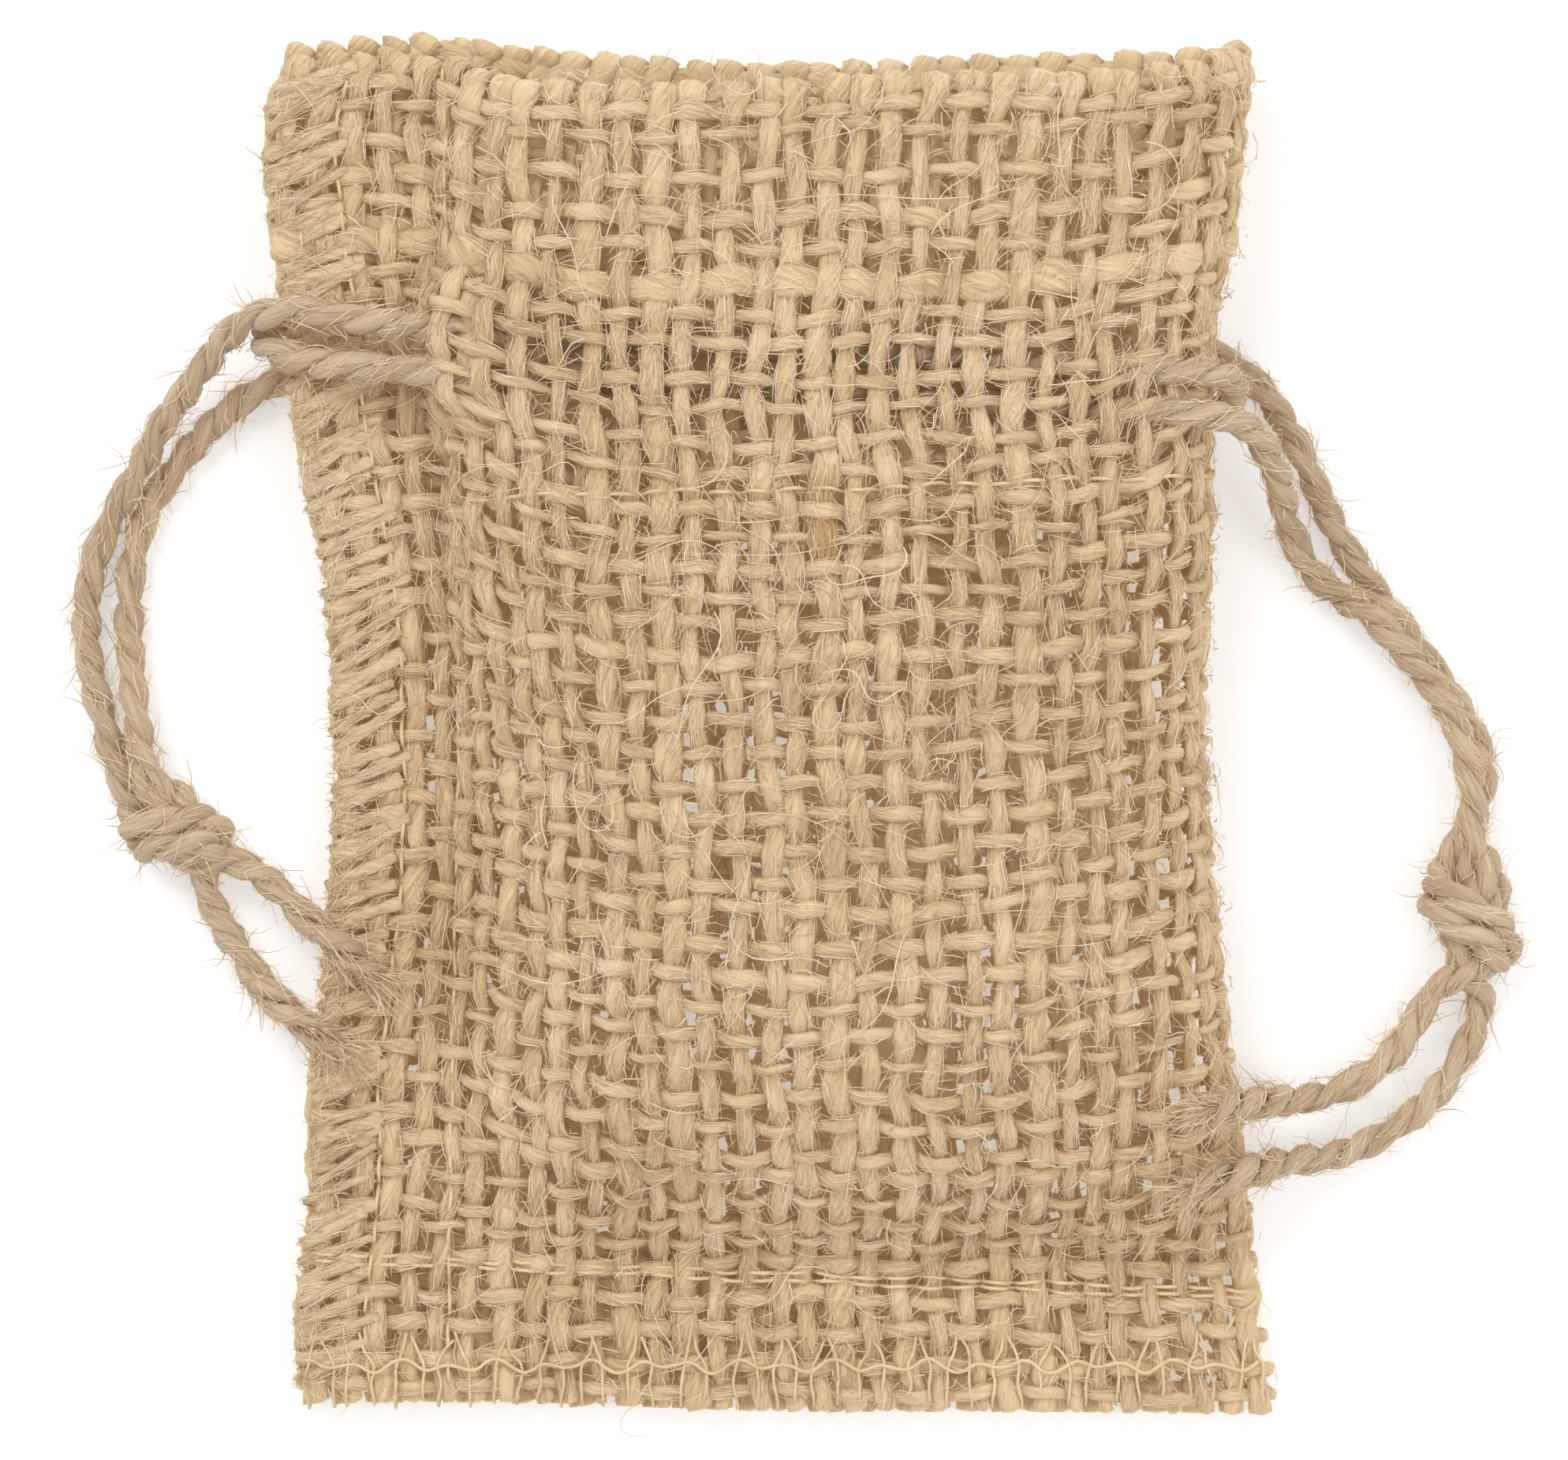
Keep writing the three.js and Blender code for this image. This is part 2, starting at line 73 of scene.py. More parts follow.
bpy.ops.object.select_all(action="DESELECT")
bpy.ops.object.camera_add(location=(*VIEW_MIDDLE, CAMERA_HEIGHT), rotation=(0, 0, 0))
camera = bpy.context.object
camera.name = "camera"
camera.data.lens = 150
camera.data.sensor_width = 36
camera.data.clip_start = 0.01
bpy.context.scene.camera = camera
print("camera at", tuple(round(c, 4) for c in camera.location))

# %% [markdown]
# ## A smooth line through chosen points
# Everything here is drawn along lines: twine, thread, yarn and stray fibres. A maker bends a
# wire through a few marks; here the same job is done by a curve through a short list of points,
# which is then cut into even steps, because even steps give even faces.

# %% Lines through points
def even_line(points, step):
    """A smooth line through the points, cut into steps of nearly the same length."""
    p = np.asarray(points, float)
    p = np.vstack([2 * p[0] - p[1], p, 2 * p[-1] - p[-2]])
    gaps = np.sqrt(np.linalg.norm(np.diff(p, axis=0), axis=1))
    knots = np.concatenate([[0], np.cumsum(gaps + 1e-9)])
    parts = []
    for i in range(1, len(p) - 2):
        t0, t1, t2, t3 = knots[i - 1 : i + 3]
        t = np.linspace(t1, t2, 24, endpoint=False)[:, None]
        a1 = (t1 - t) / (t1 - t0) * p[i - 1] + (t - t0) / (t1 - t0) * p[i]
        a2 = (t2 - t) / (t2 - t1) * p[i] + (t - t1) / (t2 - t1) * p[i + 1]
        a3 = (t3 - t) / (t3 - t2) * p[i + 1] + (t - t2) / (t3 - t2) * p[i + 2]
        b1 = (t2 - t) / (t2 - t0) * a1 + (t - t0) / (t2 - t0) * a2
        b2 = (t3 - t) / (t3 - t1) * a2 + (t - t1) / (t3 - t1) * a3
        parts.append((t2 - t) / (t2 - t1) * b1 + (t - t1) / (t2 - t1) * b2)
    line = np.vstack([*parts, p[-2][None]])
    return resampled(line, step)


def run_length(line):
    """How far along the line each of its points is."""
    return np.concatenate([[0], np.cumsum(np.linalg.norm(np.diff(line, axis=0), axis=1))])


def read_line(line, far, at):
    """The line's points where its lengths `far` reach the lengths `at`."""
    return np.stack([np.interp(at, far, part) for part in line.T], axis=1)


def resampled(line, step):
    """The same line in even steps."""
    far = run_length(line)
    return read_line(line, far, np.linspace(0, far[-1], max(2, int(round(far[-1] / step)) + 1)))


def unit(v):
    return v / np.maximum(np.linalg.norm(v, axis=-1, keepdims=True), 1e-12)


def tangents(line):
    return unit(np.gradient(line, axis=0))


def carried_frames(line, up=(0.0, 0.0, 1.0)):
    """Side and normal directions that follow the line without spinning round it."""
    t = tangents(line)
    normal = np.zeros_like(line)
    n = np.array(up, float)
    if abs(n @ t[0]) > 0.95:
        n = np.array([0.0, 1.0, 0.0])
    for i, ti in enumerate(t):
        n = n - (n @ ti) * ti
        n = n / np.linalg.norm(n)
        normal[i] = n
    return np.cross(t, normal), normal


def wander(count, at, wave, seed):
    """Smooth random waves: one row for each of count lines, read at the places `at`."""
    r = np.random.default_rng(seed)
    total = np.zeros((count, len(at)))
    for k, share in ((1.0, 0.62), (2.3, 0.27), (4.1, 0.11)):
        phase = r.uniform(0, 2 * np.pi, (count, 1))
        rate = r.uniform(0.75, 1.25, (count, 1)) * 2 * np.pi * k / wave
        total += share * np.sin(rate * np.asarray(at)[None, :] + phase)
    return total

print("a test line is", round(run_length(even_line([[0, 0, 0], [1, 0, 0], [1, 1, 0]], 0.01))[-1], 3), "long")

# %% [markdown]
# ## Strands made into one mesh
# A yarn is a soft rod: round or flattened, thicker in places, and closed at both ends. Bevelled
# curves could draw it, but they can't be flattened along the way. So each strand gives a ring
# of points at every step, and all the strands of a piece go into one mesh. Two maps come with
# it: one in centimetres along the strand and turns round it, for the twist, and one that lays
# each strand out as its own straight strip, for the bake.

# %% Strands into a mesh
def strand(line, side, normal, half_width, half_height, tint=0.0, start=0.0):
    """One strand as arrays; widths may be numbers or one value for each point."""
    n = len(line)
    return dict(line=line, side=side, normal=normal, wide=np.broadcast_to(half_width, n),
                high=np.broadcast_to(half_height, n), tint=tint, start=start)


def lying_strand(line, up, half_width, half_height, **more):
    """A strand whose flat face looks towards `up`."""
    t = tangents(line)
    side = unit(np.cross(t, up))
    return strand(line, side, unit(np.cross(side, t)), half_width, half_height, **more)


def quad_map(at, low, high):
    """Map corners of a tube's faces: `at` along the strand, from `low` to `high` round it."""
    near, far = at[:-1, None] + 0 * low, at[1:, None] + 0 * low
    low, high = low + 0 * near, high + 0 * near
    return np.stack([near, low, near, high, far, high, far, low], -1).reshape(-1, 2)


def tip_map(at, tip_at, a, b):
    """Map corners of the triangles that close one end of a tube."""
    at, tip_at = at + 0 * a, tip_at + 0 * a
    return np.stack([at, a, at, b, tip_at, (a + b) / 2], -1).reshape(-1, 2)


TIP_SHARE = 0.02  # of the strip map kept for each end
pieces = {}


def mesh_of_strands(name, strands, sides, rough=0.0):
    """A piece of closed tubes, one for each strand, in metres; rough ones have an uneven skin."""
    r = np.random.default_rng(len(strands) + sides)
    turn = -np.pi / 2 + 2 * np.pi * np.arange(sides) / sides
    cos, sin = np.cos(turn), np.sin(turn)
    points, quads, tips, along, strip, tip_along, tip_strip, tints = [], [], [], [], [], [], [], []
    base = 0
    wrap = np.arange(sides)
    nxt = (wrap + 1) % sides
    for k, s in enumerate(strands):
        n = len(s["line"])
        skin = 1 + rough * r.normal(size=(n, sides)) if rough else 1.0
        ring = (s["line"][:, None, :]
                + (skin * s["wide"][:, None] * cos)[..., None] * s["side"][:, None, :]
                + (skin * s["high"][:, None] * sin)[..., None] * s["normal"][:, None, :])
        t = tangents(s["line"])
        points.append(np.vstack([ring.reshape(-1, 3), s["line"][0] - t[0] * s["high"][0] * 0.5,
                                 s["line"][-1] + t[-1] * s["high"][-1] * 0.5]))
        row = np.arange(n - 1)[:, None] * sides + base
        quads.append(np.stack([row + wrap, row + nxt, row + sides + nxt, row + sides + wrap], -1).reshape(-1, 4))
        first, last = base + n * sides, base + n * sides + 1
        far_row = base + (n - 1) * sides
        tips.append(np.stack([base + nxt, base + wrap, np.full(sides, first)], -1))
        tips.append(np.stack([far_row + wrap, far_row + nxt, np.full(sides, last)], -1))
        far = run_length(s["line"])
        u = (far + s["start"]) * 100
        v, w = wrap / sides, (wrap + 1) / sides
        low, high = (k + 0.08 + 0.84 * v) / len(strands), (k + 0.08 + 0.84 * w) / len(strands)
        along.append(quad_map(u, v, w))
        strip.append(quad_map(TIP_SHARE + (1 - 2 * TIP_SHARE) * far / far[-1], low, high))
        tip_along += [tip_map(u[0], u[0], w, v), tip_map(u[-1], u[-1], v, w)]
        tip_strip += [tip_map(TIP_SHARE, 0.005, high, low), tip_map(1 - TIP_SHARE, 0.995, low, high)]
        tints.append(np.full(n * sides + 2, s["tint"]))
        base += n * sides + 2
    points, quads, tips = np.vstack(points), np.vstack(quads), np.vstack(tips)
    me = bpy.data.meshes.new(name)
    me.vertices.add(len(points))
    me.vertices.foreach_set("co", points.astype(np.float32).ravel())
    me.loops.add(quads.size + tips.size)
    me.loops.foreach_set("vertex_index", np.concatenate([quads.ravel(), tips.ravel()]).astype(np.int32))
    me.polygons.add(len(quads) + len(tips))
    starts = np.concatenate([np.arange(len(quads)) * 4, quads.size + np.arange(len(tips)) * 3])
    me.polygons.foreach_set("loop_start", starts.astype(np.int32))
    me.polygons.foreach_set("use_smooth", np.ones(len(starts), bool))
    me.update(calc_edges=True)
    for map_name, values in (("along", along + tip_along), ("OFBake", strip + tip_strip)):
        me.uv_layers.new(name=map_name).data.foreach_set("uv", np.vstack(values).astype(np.float32).ravel())
    me.uv_layers.active = me.uv_layers["along"]
    me.uv_layers["along"].active_render = True
    tint = me.attributes.new("tint", "FLOAT", "POINT")
    tint.data.foreach_set("value", np.concatenate(tints).astype(np.float32))
    me.validate()
    pieces[name] = bpy.data.objects.new(name, me)
    bpy.context.scene.collection.objects.link(pieces[name])
    print(f"{name}: {len(strands)} strands, {2 * len(quads) + len(tips)} triangles")

# %% [markdown]
# ## The routes of the drawcords
# Each drawcord is one length of twine. It goes in at its own side, round the pouch inside the
# casing, and out again at the same side, where both ends are tied in one knot. What can be seen
# are two strands at each side, the knot, and two short frayed ends. The routes are the same
# points as in the solid model, in metres.

# %% Routes of the twine
CASING_MIDDLE = 0.0284
CASING_TILT = math.tan(math.radians(3.3))
FRONT_Z, BACK_Z, FLOOR_Z, SEAM_TOP = 0.0123, 0.0025, 0.00125, 0.0047


def run(x, y, z):
    """A point of a straight run in the casing, which slopes a little across the pouch."""
    return (x, y - (x + 0.028) * CASING_TILT, z)


def straight(y, z, *xs):
    return [run(x, y, z) for x in xs]


left_front_leg = straight(0.0305, FRONT_Z, -0.001, -0.014, -0.021, -0.026) + [
    (-0.0315, 0.031, 0.012), (-0.0368, 0.0319, 0.0104), (-0.0412, 0.0308, 0.0072), (-0.0441, 0.0275, 0.0048),
    (-0.0468, 0.0242, 0.0036), (-0.0489, 0.0203, 0.003), (-0.0507, 0.0174, 0.0024), (-0.0523, 0.0142, 0.0014),
    (-0.0532, 0.0104, FLOOR_Z), (-0.0532, 0.006, FLOOR_Z), (-0.0522, 0.0016, FLOOR_Z)]
left_back_leg = straight(0.0272, BACK_Z, -0.001, -0.014, -0.021, -0.026, -0.034) + [
    (-0.0384, 0.0269, 0.0019), (-0.042, 0.0249, FLOOR_Z), (-0.0448, 0.0222, FLOOR_Z),
    (-0.0469, 0.0196, FLOOR_Z), (-0.0484, 0.0172, FLOOR_Z), (-0.0495, 0.0142, FLOOR_Z),
    (-0.05, 0.0096, FLOOR_Z), (-0.0498, 0.005, 0.0016), (-0.0493, 0.001, 0.0029)]
right_front_leg = straight(0.0273, FRONT_Z, 0.005, 0.018, 0.028, 0.033) + [
    (0.036, 0.0228, 0.0114), (0.0382, 0.0197, 0.0078), (0.0394, 0.0159, 0.0034), (0.041, 0.0126, 0.0017),
    (0.0431, 0.0105, 0.0027), (0.0454, 0.0091, 0.0036), (0.0488, 0.0055, 0.0037), (0.0522, 0.0006, 0.0037),
    (0.0534, -0.0036, 0.0038)]
right_back_leg = straight(0.0328, BACK_Z, 0.005, 0.018, 0.028, 0.033) + [
    (0.0368, 0.027, 0.0017), (0.0398, 0.0228, FLOOR_Z), (0.0434, 0.015, FLOOR_Z), (0.0464, 0.0105, FLOOR_Z),
    (0.05, 0.0058, FLOOR_Z), (0.0534, 0.0006, FLOOR_Z), (0.0548, -0.0038, FLOOR_Z)]
left_upper_tail = [(-0.0415, -0.010, 0.0029), (-0.0384, -0.0122, 0.0038), (-0.0346, -0.0158, SEAM_TOP),
                   (-0.0304, -0.0194, SEAM_TOP)]
left_lower_tail = [(-0.0442, -0.0119, 0.0016), (-0.0416, -0.0168, 0.0022), (-0.0376, -0.0216, 0.0042),
                   (-0.0326, -0.025, SEAM_TOP)]
right_inner_tail = [(0.0515, -0.0192, 0.0025), (0.0474, -0.0252, 0.002), (0.0428, -0.028, 0.0026),
                    (0.0386, -0.0284, 0.0052), (0.0352, -0.0285, 0.009), (0.0318, -0.0292, 0.0115)]
right_outer_tail = [(0.0546, -0.0202, 0.0015), (0.052, -0.0268, FLOOR_Z), (0.0484, -0.0304, FLOOR_Z),
                    (0.0434, -0.0328, 0.0016), (0.0394, -0.0331, 0.004), (0.0354, -0.0338, 0.0082),
                    (0.0306, -0.0352, 0.0098)]
bight_at_left = straight(0.0273, FRONT_Z, 0.0044, -0.014, -0.026) + [
    (-0.0315, 0.0276, 0.0114), (-0.0365, 0.0282, 0.0097), (-0.0393, 0.0299, 0.006),
    (-0.037, 0.032, 0.0026)] + straight(0.0328, BACK_Z, -0.032, -0.014, 0.0044)
bight_at_right = straight(0.0305, FRONT_Z, -0.0004, 0.016, 0.030) + [
    (0.0336, 0.0269, 0.0112), (0.035, 0.0258, 0.0074),
    (0.0338, 0.0244, 0.0038)] + straight(0.0272, BACK_Z, 0.029, 0.016, -0.0004)

# %% [markdown]
# ## The knots
# Both ends of a drawcord are tied together in one overhand knot: the pair of strands runs in,
# turns back round itself, tucks under its own turn and runs out. The path is written once, as
# lengths along, across and up from the knot's middle. Each strand follows it half a twine
# aside, so that the two lie side by side through every turn.

# %% Path of an overhand knot
KNOT_PATH = [(-3.6, -0.3, -0.5), (-0.8, -0.8, -0.9), (2.0, -0.4, -1.0), (3.9, 1.2, -0.5), (3.0, 2.6, 0.8),
             (1.5, 1.6, 2.3), (0.2, -0.7, 2.8), (-0.9, -2.7, 1.5), (-1.6, -2.8, -0.8), (-2.4, -1.1, -2.1),
             (-3.0, 1.2, -1.5), (-2.5, 2.1, 0.4), (-0.8, 1.2, 0.9), (1.6, 0.4, 1.0), (3.8, -0.4, 0.6)]


def knot_strand(middle, heading, scale, aside):
    """The knot's path in place, moved aside by that many metres within each turn."""
    p = even_line(np.array(KNOT_PATH) * MM * np.array(scale), 0.0009)
    t = tangents(p)
    out = unit(p * np.array([0, 1, 1]) + np.array([0, 0, 0.0012]))
    p = p + unit(np.cross(t, out)) * aside
    along = np.array([math.cos(heading), math.sin(heading), 0])
    across = np.array([-math.sin(heading), math.cos(heading), 0])
    return np.array(middle) + p[:, :1] * along + p[:, 1:2] * across + p[:, 2:] * np.array([0, 0, 1])


left_low, left_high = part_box("left_knot")
right_low, right_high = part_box("right_knot")
left_middle, right_middle = (left_low + left_high) / 2, (right_low + right_high) / 2
print("knots at", [round(c, 4) for c in left_middle], [round(c, 4) for c in right_middle])

# %% [markdown]
# ## Two-ply twine
# Jute twine is two soft plies laid round each other, with the fibres in each ply twisted the
# other way. A plain round cord with a twist in its bump would look like wire, so both plies are
# real strands that wind round the line. They swell and thin a little, and lie flatter where the
# twine is pressed.

# %% Make the twine
LAY = 0.0066  # length of one full turn of the plies
PLY_OFF, PLY_WIDE, PLY_HIGH = 0.00050, 0.00074, 0.00066  # off the middle, half width and half height
FRAY = 0.011  # how much of each cut end opens up


def twine(name, line, seed, fray=0.0):
    """A two-ply twine along the line; it opens up over the last `fray` metres."""
    r = np.random.default_rng(seed)
    far = run_length(line)
    side, normal = carried_frames(line)
    turn = 2 * np.pi * far / LAY + 0.9 * wander(1, far, 0.024, seed)[0] + r.uniform(0, 6)
    open_end = np.clip((far - far[-1] + fray) / max(fray, 1e-6), 0, 1) if fray else np.zeros(len(far))
    plies = []
    for k in range(2):
        swell = (1 + 0.09 * wander(1, far, 0.006, seed + 10 + k)[0]
                 + 0.05 * wander(1, far, 0.0023, seed + 20 + k)[0])
        a = turn + np.pi * k
        out = np.cos(a)[:, None] * side + np.sin(a)[:, None] * normal
        centre = line + out * (PLY_OFF * (1 + 0.9 * open_end))[:, None]
        t = tangents(centre)
        wide = unit(np.cross(out, t))
        shred = 1 - 0.75 * open_end ** 6  # the ply thins out at its very end
        plies.append(strand(centre, wide, unit(np.cross(t, wide)),
                            PLY_WIDE * swell * (1 + 0.15 * open_end) * shred,
                            PLY_HIGH * swell * (1 - 0.25 * open_end) * shred,
                            tint=r.uniform(-1, 1), start=r.uniform(0, 0.1)))
    plies_of_twine[name] = plies
    mesh_of_strands(name, plies, 12, 0.03)


def settled(line, passes=14):
    """The line with its sharp turns eased, no lower than a twine lying on the table."""
    for _ in range(passes):
        line[1:-1] = 0.25 * line[:-2] + 0.5 * line[1:-1] + 0.25 * line[2:]
    line[:, 2] = np.maximum(line[:, 2], FLOOR_Z)
    return even_line(line[::3], 0.0004)


ASIDE = 0.00095  # of each strand from the middle of the pair in a knot
LEFT_KNOT = (left_middle, -0.85, (1.0, 0.92, 0.86))  # middle, heading and scale
RIGHT_KNOT = (right_middle, -1.52, (1.12, 0.98, 0.9))
strands_of_twine, plies_of_twine = {}, {}
for name, leg, tail, knot, aside in (
    ("left_front_twine", left_front_leg, left_upper_tail, LEFT_KNOT, ASIDE),
    ("left_back_twine", left_back_leg, left_lower_tail, LEFT_KNOT, -ASIDE),
    ("right_front_twine", right_front_leg, right_inner_tail, RIGHT_KNOT, -ASIDE),
    ("right_back_twine", right_back_leg, right_outer_tail, RIGHT_KNOT, ASIDE),
):
    path = np.vstack([leg, knot_strand(*knot, aside)[::2], tail])
    strands_of_twine[name] = settled(even_line(path, 0.0004))
strands_of_twine["left_round_twine"] = even_line(bight_at_left, 0.0004)
strands_of_twine["right_round_twine"] = even_line(bight_at_right, 0.0004)

for k, (name, line) in enumerate(strands_of_twine.items()):
    twine(name, line, 40 + k, fray=FRAY if "round" not in name else 0.0)
    print(name, "is", round(run_length(line)[-1] * 1000, 1), "mm long")

# %% [markdown]
# ## The shape that the cloth takes
# A filled or opened pouch isn't two flat plates. Its front panel swells up from the sewn edges,
# and its back panel lies on the table. A cloth simulation could find that shape, but the yarns
# come after it, and they need a surface that can be read at any place. So the shape is written
# as a loft: at each height the two panels follow one cross-section, and a few marks along the
# pouch say where its edges are and how full it is there.

# %% Loft of the pouch
MARKS_Y = np.linspace(-0.042, 0.0525, 10)
SEAM_X = np.array([-25.4, -25.2, -25.0, -24.8, -24.6, -24.6, -24.8, -25.2, -25.4, -25.6]) * MM
FULLNESS = np.array([2.6, 12.0, 16.0, 17.0, 17.0, 16.6, 15.4, 15.0, 13.8, 13.2]) * MM
SEAM_Z = np.array([1.3, 1.3, 1.3, 1.3, 1.4, 2.6, 4.8, 5.2, 4.8, 4.2]) * MM
FOLD_Z = np.array([1.75, 3.0, 4.0, 4.5, 4.8, 5.2, 6.0, 6.5, 6.2, 6.0]) * MM
BOXY = np.array([2.2, 2.3, 2.4, 2.5, 2.8, 4.0, 6.0, 6.5, 6.0, 5.0])
STEEP = np.array([0.0, 0.0, 0.0, 0.05, 0.2, 0.6, 0.9, 1.0, 0.8, 0.6])  # of the side next to the seam
CUT_EDGE = np.array([(-52.6, -36.0), (-48, -36.9), (-41, -36.5), (-34, -35.8), (-27, -35.9), (-20, -35.0),
                     (-12, -34.2), (-5, -33.9), (2, -34.1), (9.4, -34.4), (16.7, -35.5), (24, -36.7),
                     (31, -37.2), (38.5, -38.4), (42, -38.7), (46, -38.9), (50, -37.9), (53, -36.5)]) * MM
FOLD_EDGE = np.array([(-52.6, 38.9), (-48, 38.2), (-41, 37.1), (-34, 36.1), (-27, 34.9), (-20, 34.0), (-12, 33.4),
                      (-5, 32.8), (2, 32.4), (9.4, 32.5), (16.7, 32.9), (24, 32.5), (31, 33.0),
                      (38.5, 35.0), (42, 35.3), (46, 35.7), (50, 36.2), (53, 36.3)]) * MM
HALF_CLOTH = 0.95 * MM  # from the table to the middle of the back panel
HEM_STITCH_Y = 0.0186
CASING_HALF = 0.0074


def smooth_read(x, xs, values):
    """The values at x, joined by a smooth curve."""
    x = np.clip(x, xs[0], xs[-1])
    slope = np.gradient(values, xs)
    i = np.clip(np.searchsorted(xs, x) - 1, 0, len(xs) - 2)
    h = xs[i + 1] - xs[i]
    t = (x - xs[i]) / h
    return ((2 * t**3 - 3 * t**2 + 1) * values[i] + (t**3 - 2 * t**2 + t) * h * slope[i]
            + (3 * t**2 - 2 * t**3) * values[i + 1] + (t**3 - t**2) * h * slope[i + 1])


def mark(y, values):
    return smooth_read(y, MARKS_Y, values)


def edge(y, table):
    return smooth_read(y, table[:, 0], table[:, 1])


def smoothstep(x, low, high):
    t = np.clip((x - low) / (high - low), 0, 1)
    return t * t * (3 - 2 * t)


def seam_halves(y):
    """Middle of the sewn layers, and how far each lies from it: there are four of them at the hem."""
    hem = smoothstep(y, HEM_STITCH_Y - 0.001, HEM_STITCH_Y + 0.003)
    half = 0.00088 + 0.0010 * hem
    return np.maximum(mark(y, SEAM_Z) + 0.00045, HALF_CLOTH + half), half


def panel_share(x, y):
    """How far across a panel the place is: 0 at the side seam, 1 at the fold."""
    seam, fold = mark(y, SEAM_X), edge(y, FOLD_EDGE)
    return np.clip((x - seam) / (fold - seam), 0, 1)


def front_z(x, y):
    """Height of the middle of the front panel's cloth."""
    middle, half = seam_halves(y)
    u = panel_share(x, y)
    top = np.maximum(mark(y, FULLNESS) - 0.0009, middle + half)
    side = middle + half + (mark(y, FOLD_Z) - middle - half) * u
    soft = (1 - mark(y, STEEP)) * (1 - smoothstep(u, 0.1, 0.6))
    rise = np.clip(1 - np.abs(2 * u - 1) ** mark(y, BOXY), 0, 1) ** (0.5 + 0.5 * soft)
    return side + (top - side) * rise


def back_z(x, y):
    """Height of the middle of the back panel's cloth."""
    middle, half = seam_halves(y)
    u = panel_share(x, y)
    side = middle - half + (mark(y, FOLD_Z) - middle + half) * u**3
    rise = np.minimum(1, 1.06 * np.sqrt(np.clip(1 - np.abs(2 * u - 1) ** 8, 0, 1)))
    return side - (side - HALF_CLOTH) * rise

print("front at the middle:", round(float(front_z(0.004, np.array(0.0))) / MM, 2), "mm high")

# %% [markdown]
# ## Cloth that can be read at any place
# Yarns keep their places in the cloth while it bends, so they are laid by cloth coordinates and
# not by x and y: `across` runs from the cut edge at the left over the front, round the fold and
# back behind, and `along` from the bottom edge to the mouth. Both are measured on the cloth, so
# the yarns crowd where the pouch curves away, as they do on a real one.

# %% Grid of the cloth
ACROSS_STEPS, ALONG_STEPS = 361, 241
BOTTOM_LINE = [(0.0, -51.6), (0.12, -52.0), (0.27, -52.3), (0.5, -52.6), (0.75, -52.5), (1.0, -51.8)]
MOUTH_LINE = [(0.0, 50.6), (0.05, 50.9), (0.085, 50.3), (0.12, 48.6), (0.17, 47.9), (0.3, 48.4), (0.44, 49.5),
              (0.485, 51.0), (0.5, 51.7), (0.53, 51.6), (0.62, 50.9), (0.75, 50.3), (0.86, 51.2),
              (0.94, 52.4), (0.98, 52.0), (1.0, 51.4)]


def cross_section(y, count):
    """Both panels at one height, from the cut edge round the fold and back, in even steps."""
    seam, fold, cut = mark(y, SEAM_X), edge(y, FOLD_EDGE), edge(y, CUT_EDGE)
    fine = np.concatenate([np.linspace(cut, seam, 40, endpoint=False),
                           seam + (fold - seam) * np.sin(np.linspace(0, np.pi / 2, 260))])
    halves = []
    for height in (front_z, back_z):
        p = np.stack([fine, height(fine, np.full(len(fine), y))], 1)
        far = run_length(p)
        halves.append(read_line(p, far, np.linspace(0, far[-1], count // 2 + 1)))
    return np.vstack([halves[0], halves[1][::-1][1:]])


fine_y = np.linspace(-0.0535, 0.053, 320)
sections = np.array([cross_section(y, ACROSS_STEPS) for y in fine_y])
shares = np.linspace(0, 1, ACROSS_STEPS)
bottom_y = edge(shares, np.array(BOTTOM_LINE)) * MM
mouth_y = edge(shares, np.array(MOUTH_LINE)) * MM

grid = np.zeros((ALONG_STEPS, ACROSS_STEPS, 3))
for c in range(ACROSS_STEPS):
    column = np.stack([sections[:, c, 0], fine_y, sections[:, c, 1]], 1)
    p = read_line(column, fine_y, np.linspace(bottom_y[c], mouth_y[c], 400))
    far = run_length(p)
    grid[:, c] = read_line(p, far, np.linspace(0, far[-1], ALONG_STEPS))
for _ in range(3):
    grid[:, 1:-1] = 0.25 * grid[:, :-2] + 0.5 * grid[:, 1:-1] + 0.25 * grid[:, 2:]
grid_across = unit(np.gradient(grid, axis=1))
grid_along = unit(np.gradient(grid, axis=0))
grid_out = unit(np.cross(grid_across, grid_along))


def read_cloth(across, along):
    """Place, outward direction, direction along and direction across, at cloth coordinates."""
    a = np.clip(np.asarray(across, float), 0, 1) * (ACROSS_STEPS - 1)
    b = np.clip(np.asarray(along, float), 0, 1) * (ALONG_STEPS - 1)
    i, j = np.minimum(a.astype(int), ACROSS_STEPS - 2), np.minimum(b.astype(int), ALONG_STEPS - 2)
    s, t = (a - i)[..., None], (b - j)[..., None]
    found = [(1 - t) * ((1 - s) * g[j, i] + s * g[j, i + 1]) + t * ((1 - s) * g[j + 1, i] + s * g[j + 1, i + 1])
             for g in (grid, grid_out, grid_along, grid_across)]
    return found[0], unit(found[1]), unit(found[2]), unit(found[3])


front_width = np.linalg.norm(np.diff(grid[ALONG_STEPS // 2, : ACROSS_STEPS // 2 + 1], axis=0), axis=1).sum()
cloth_length = run_length(grid[:, ACROSS_STEPS // 4])[-1]
print("front panel:", round(front_width / MM, 1), "by", round(cloth_length / MM, 1), "mm of cloth")

# %% [markdown]
# ## Yarns of the weave
# The cloth is a plain weave of single jute yarns, so open that each yarn can be seen. A printed
# or bumped weave would have no holes and no rough outline, so every yarn is a strand that goes
# over one neighbour and under the next. The yarns that run up the pouch are thick and close, and
# the cross yarns are thinner. Jute is uneven, so each yarn has its own thickness, its own slubs
# and a slight wander, and a few are far too thick.

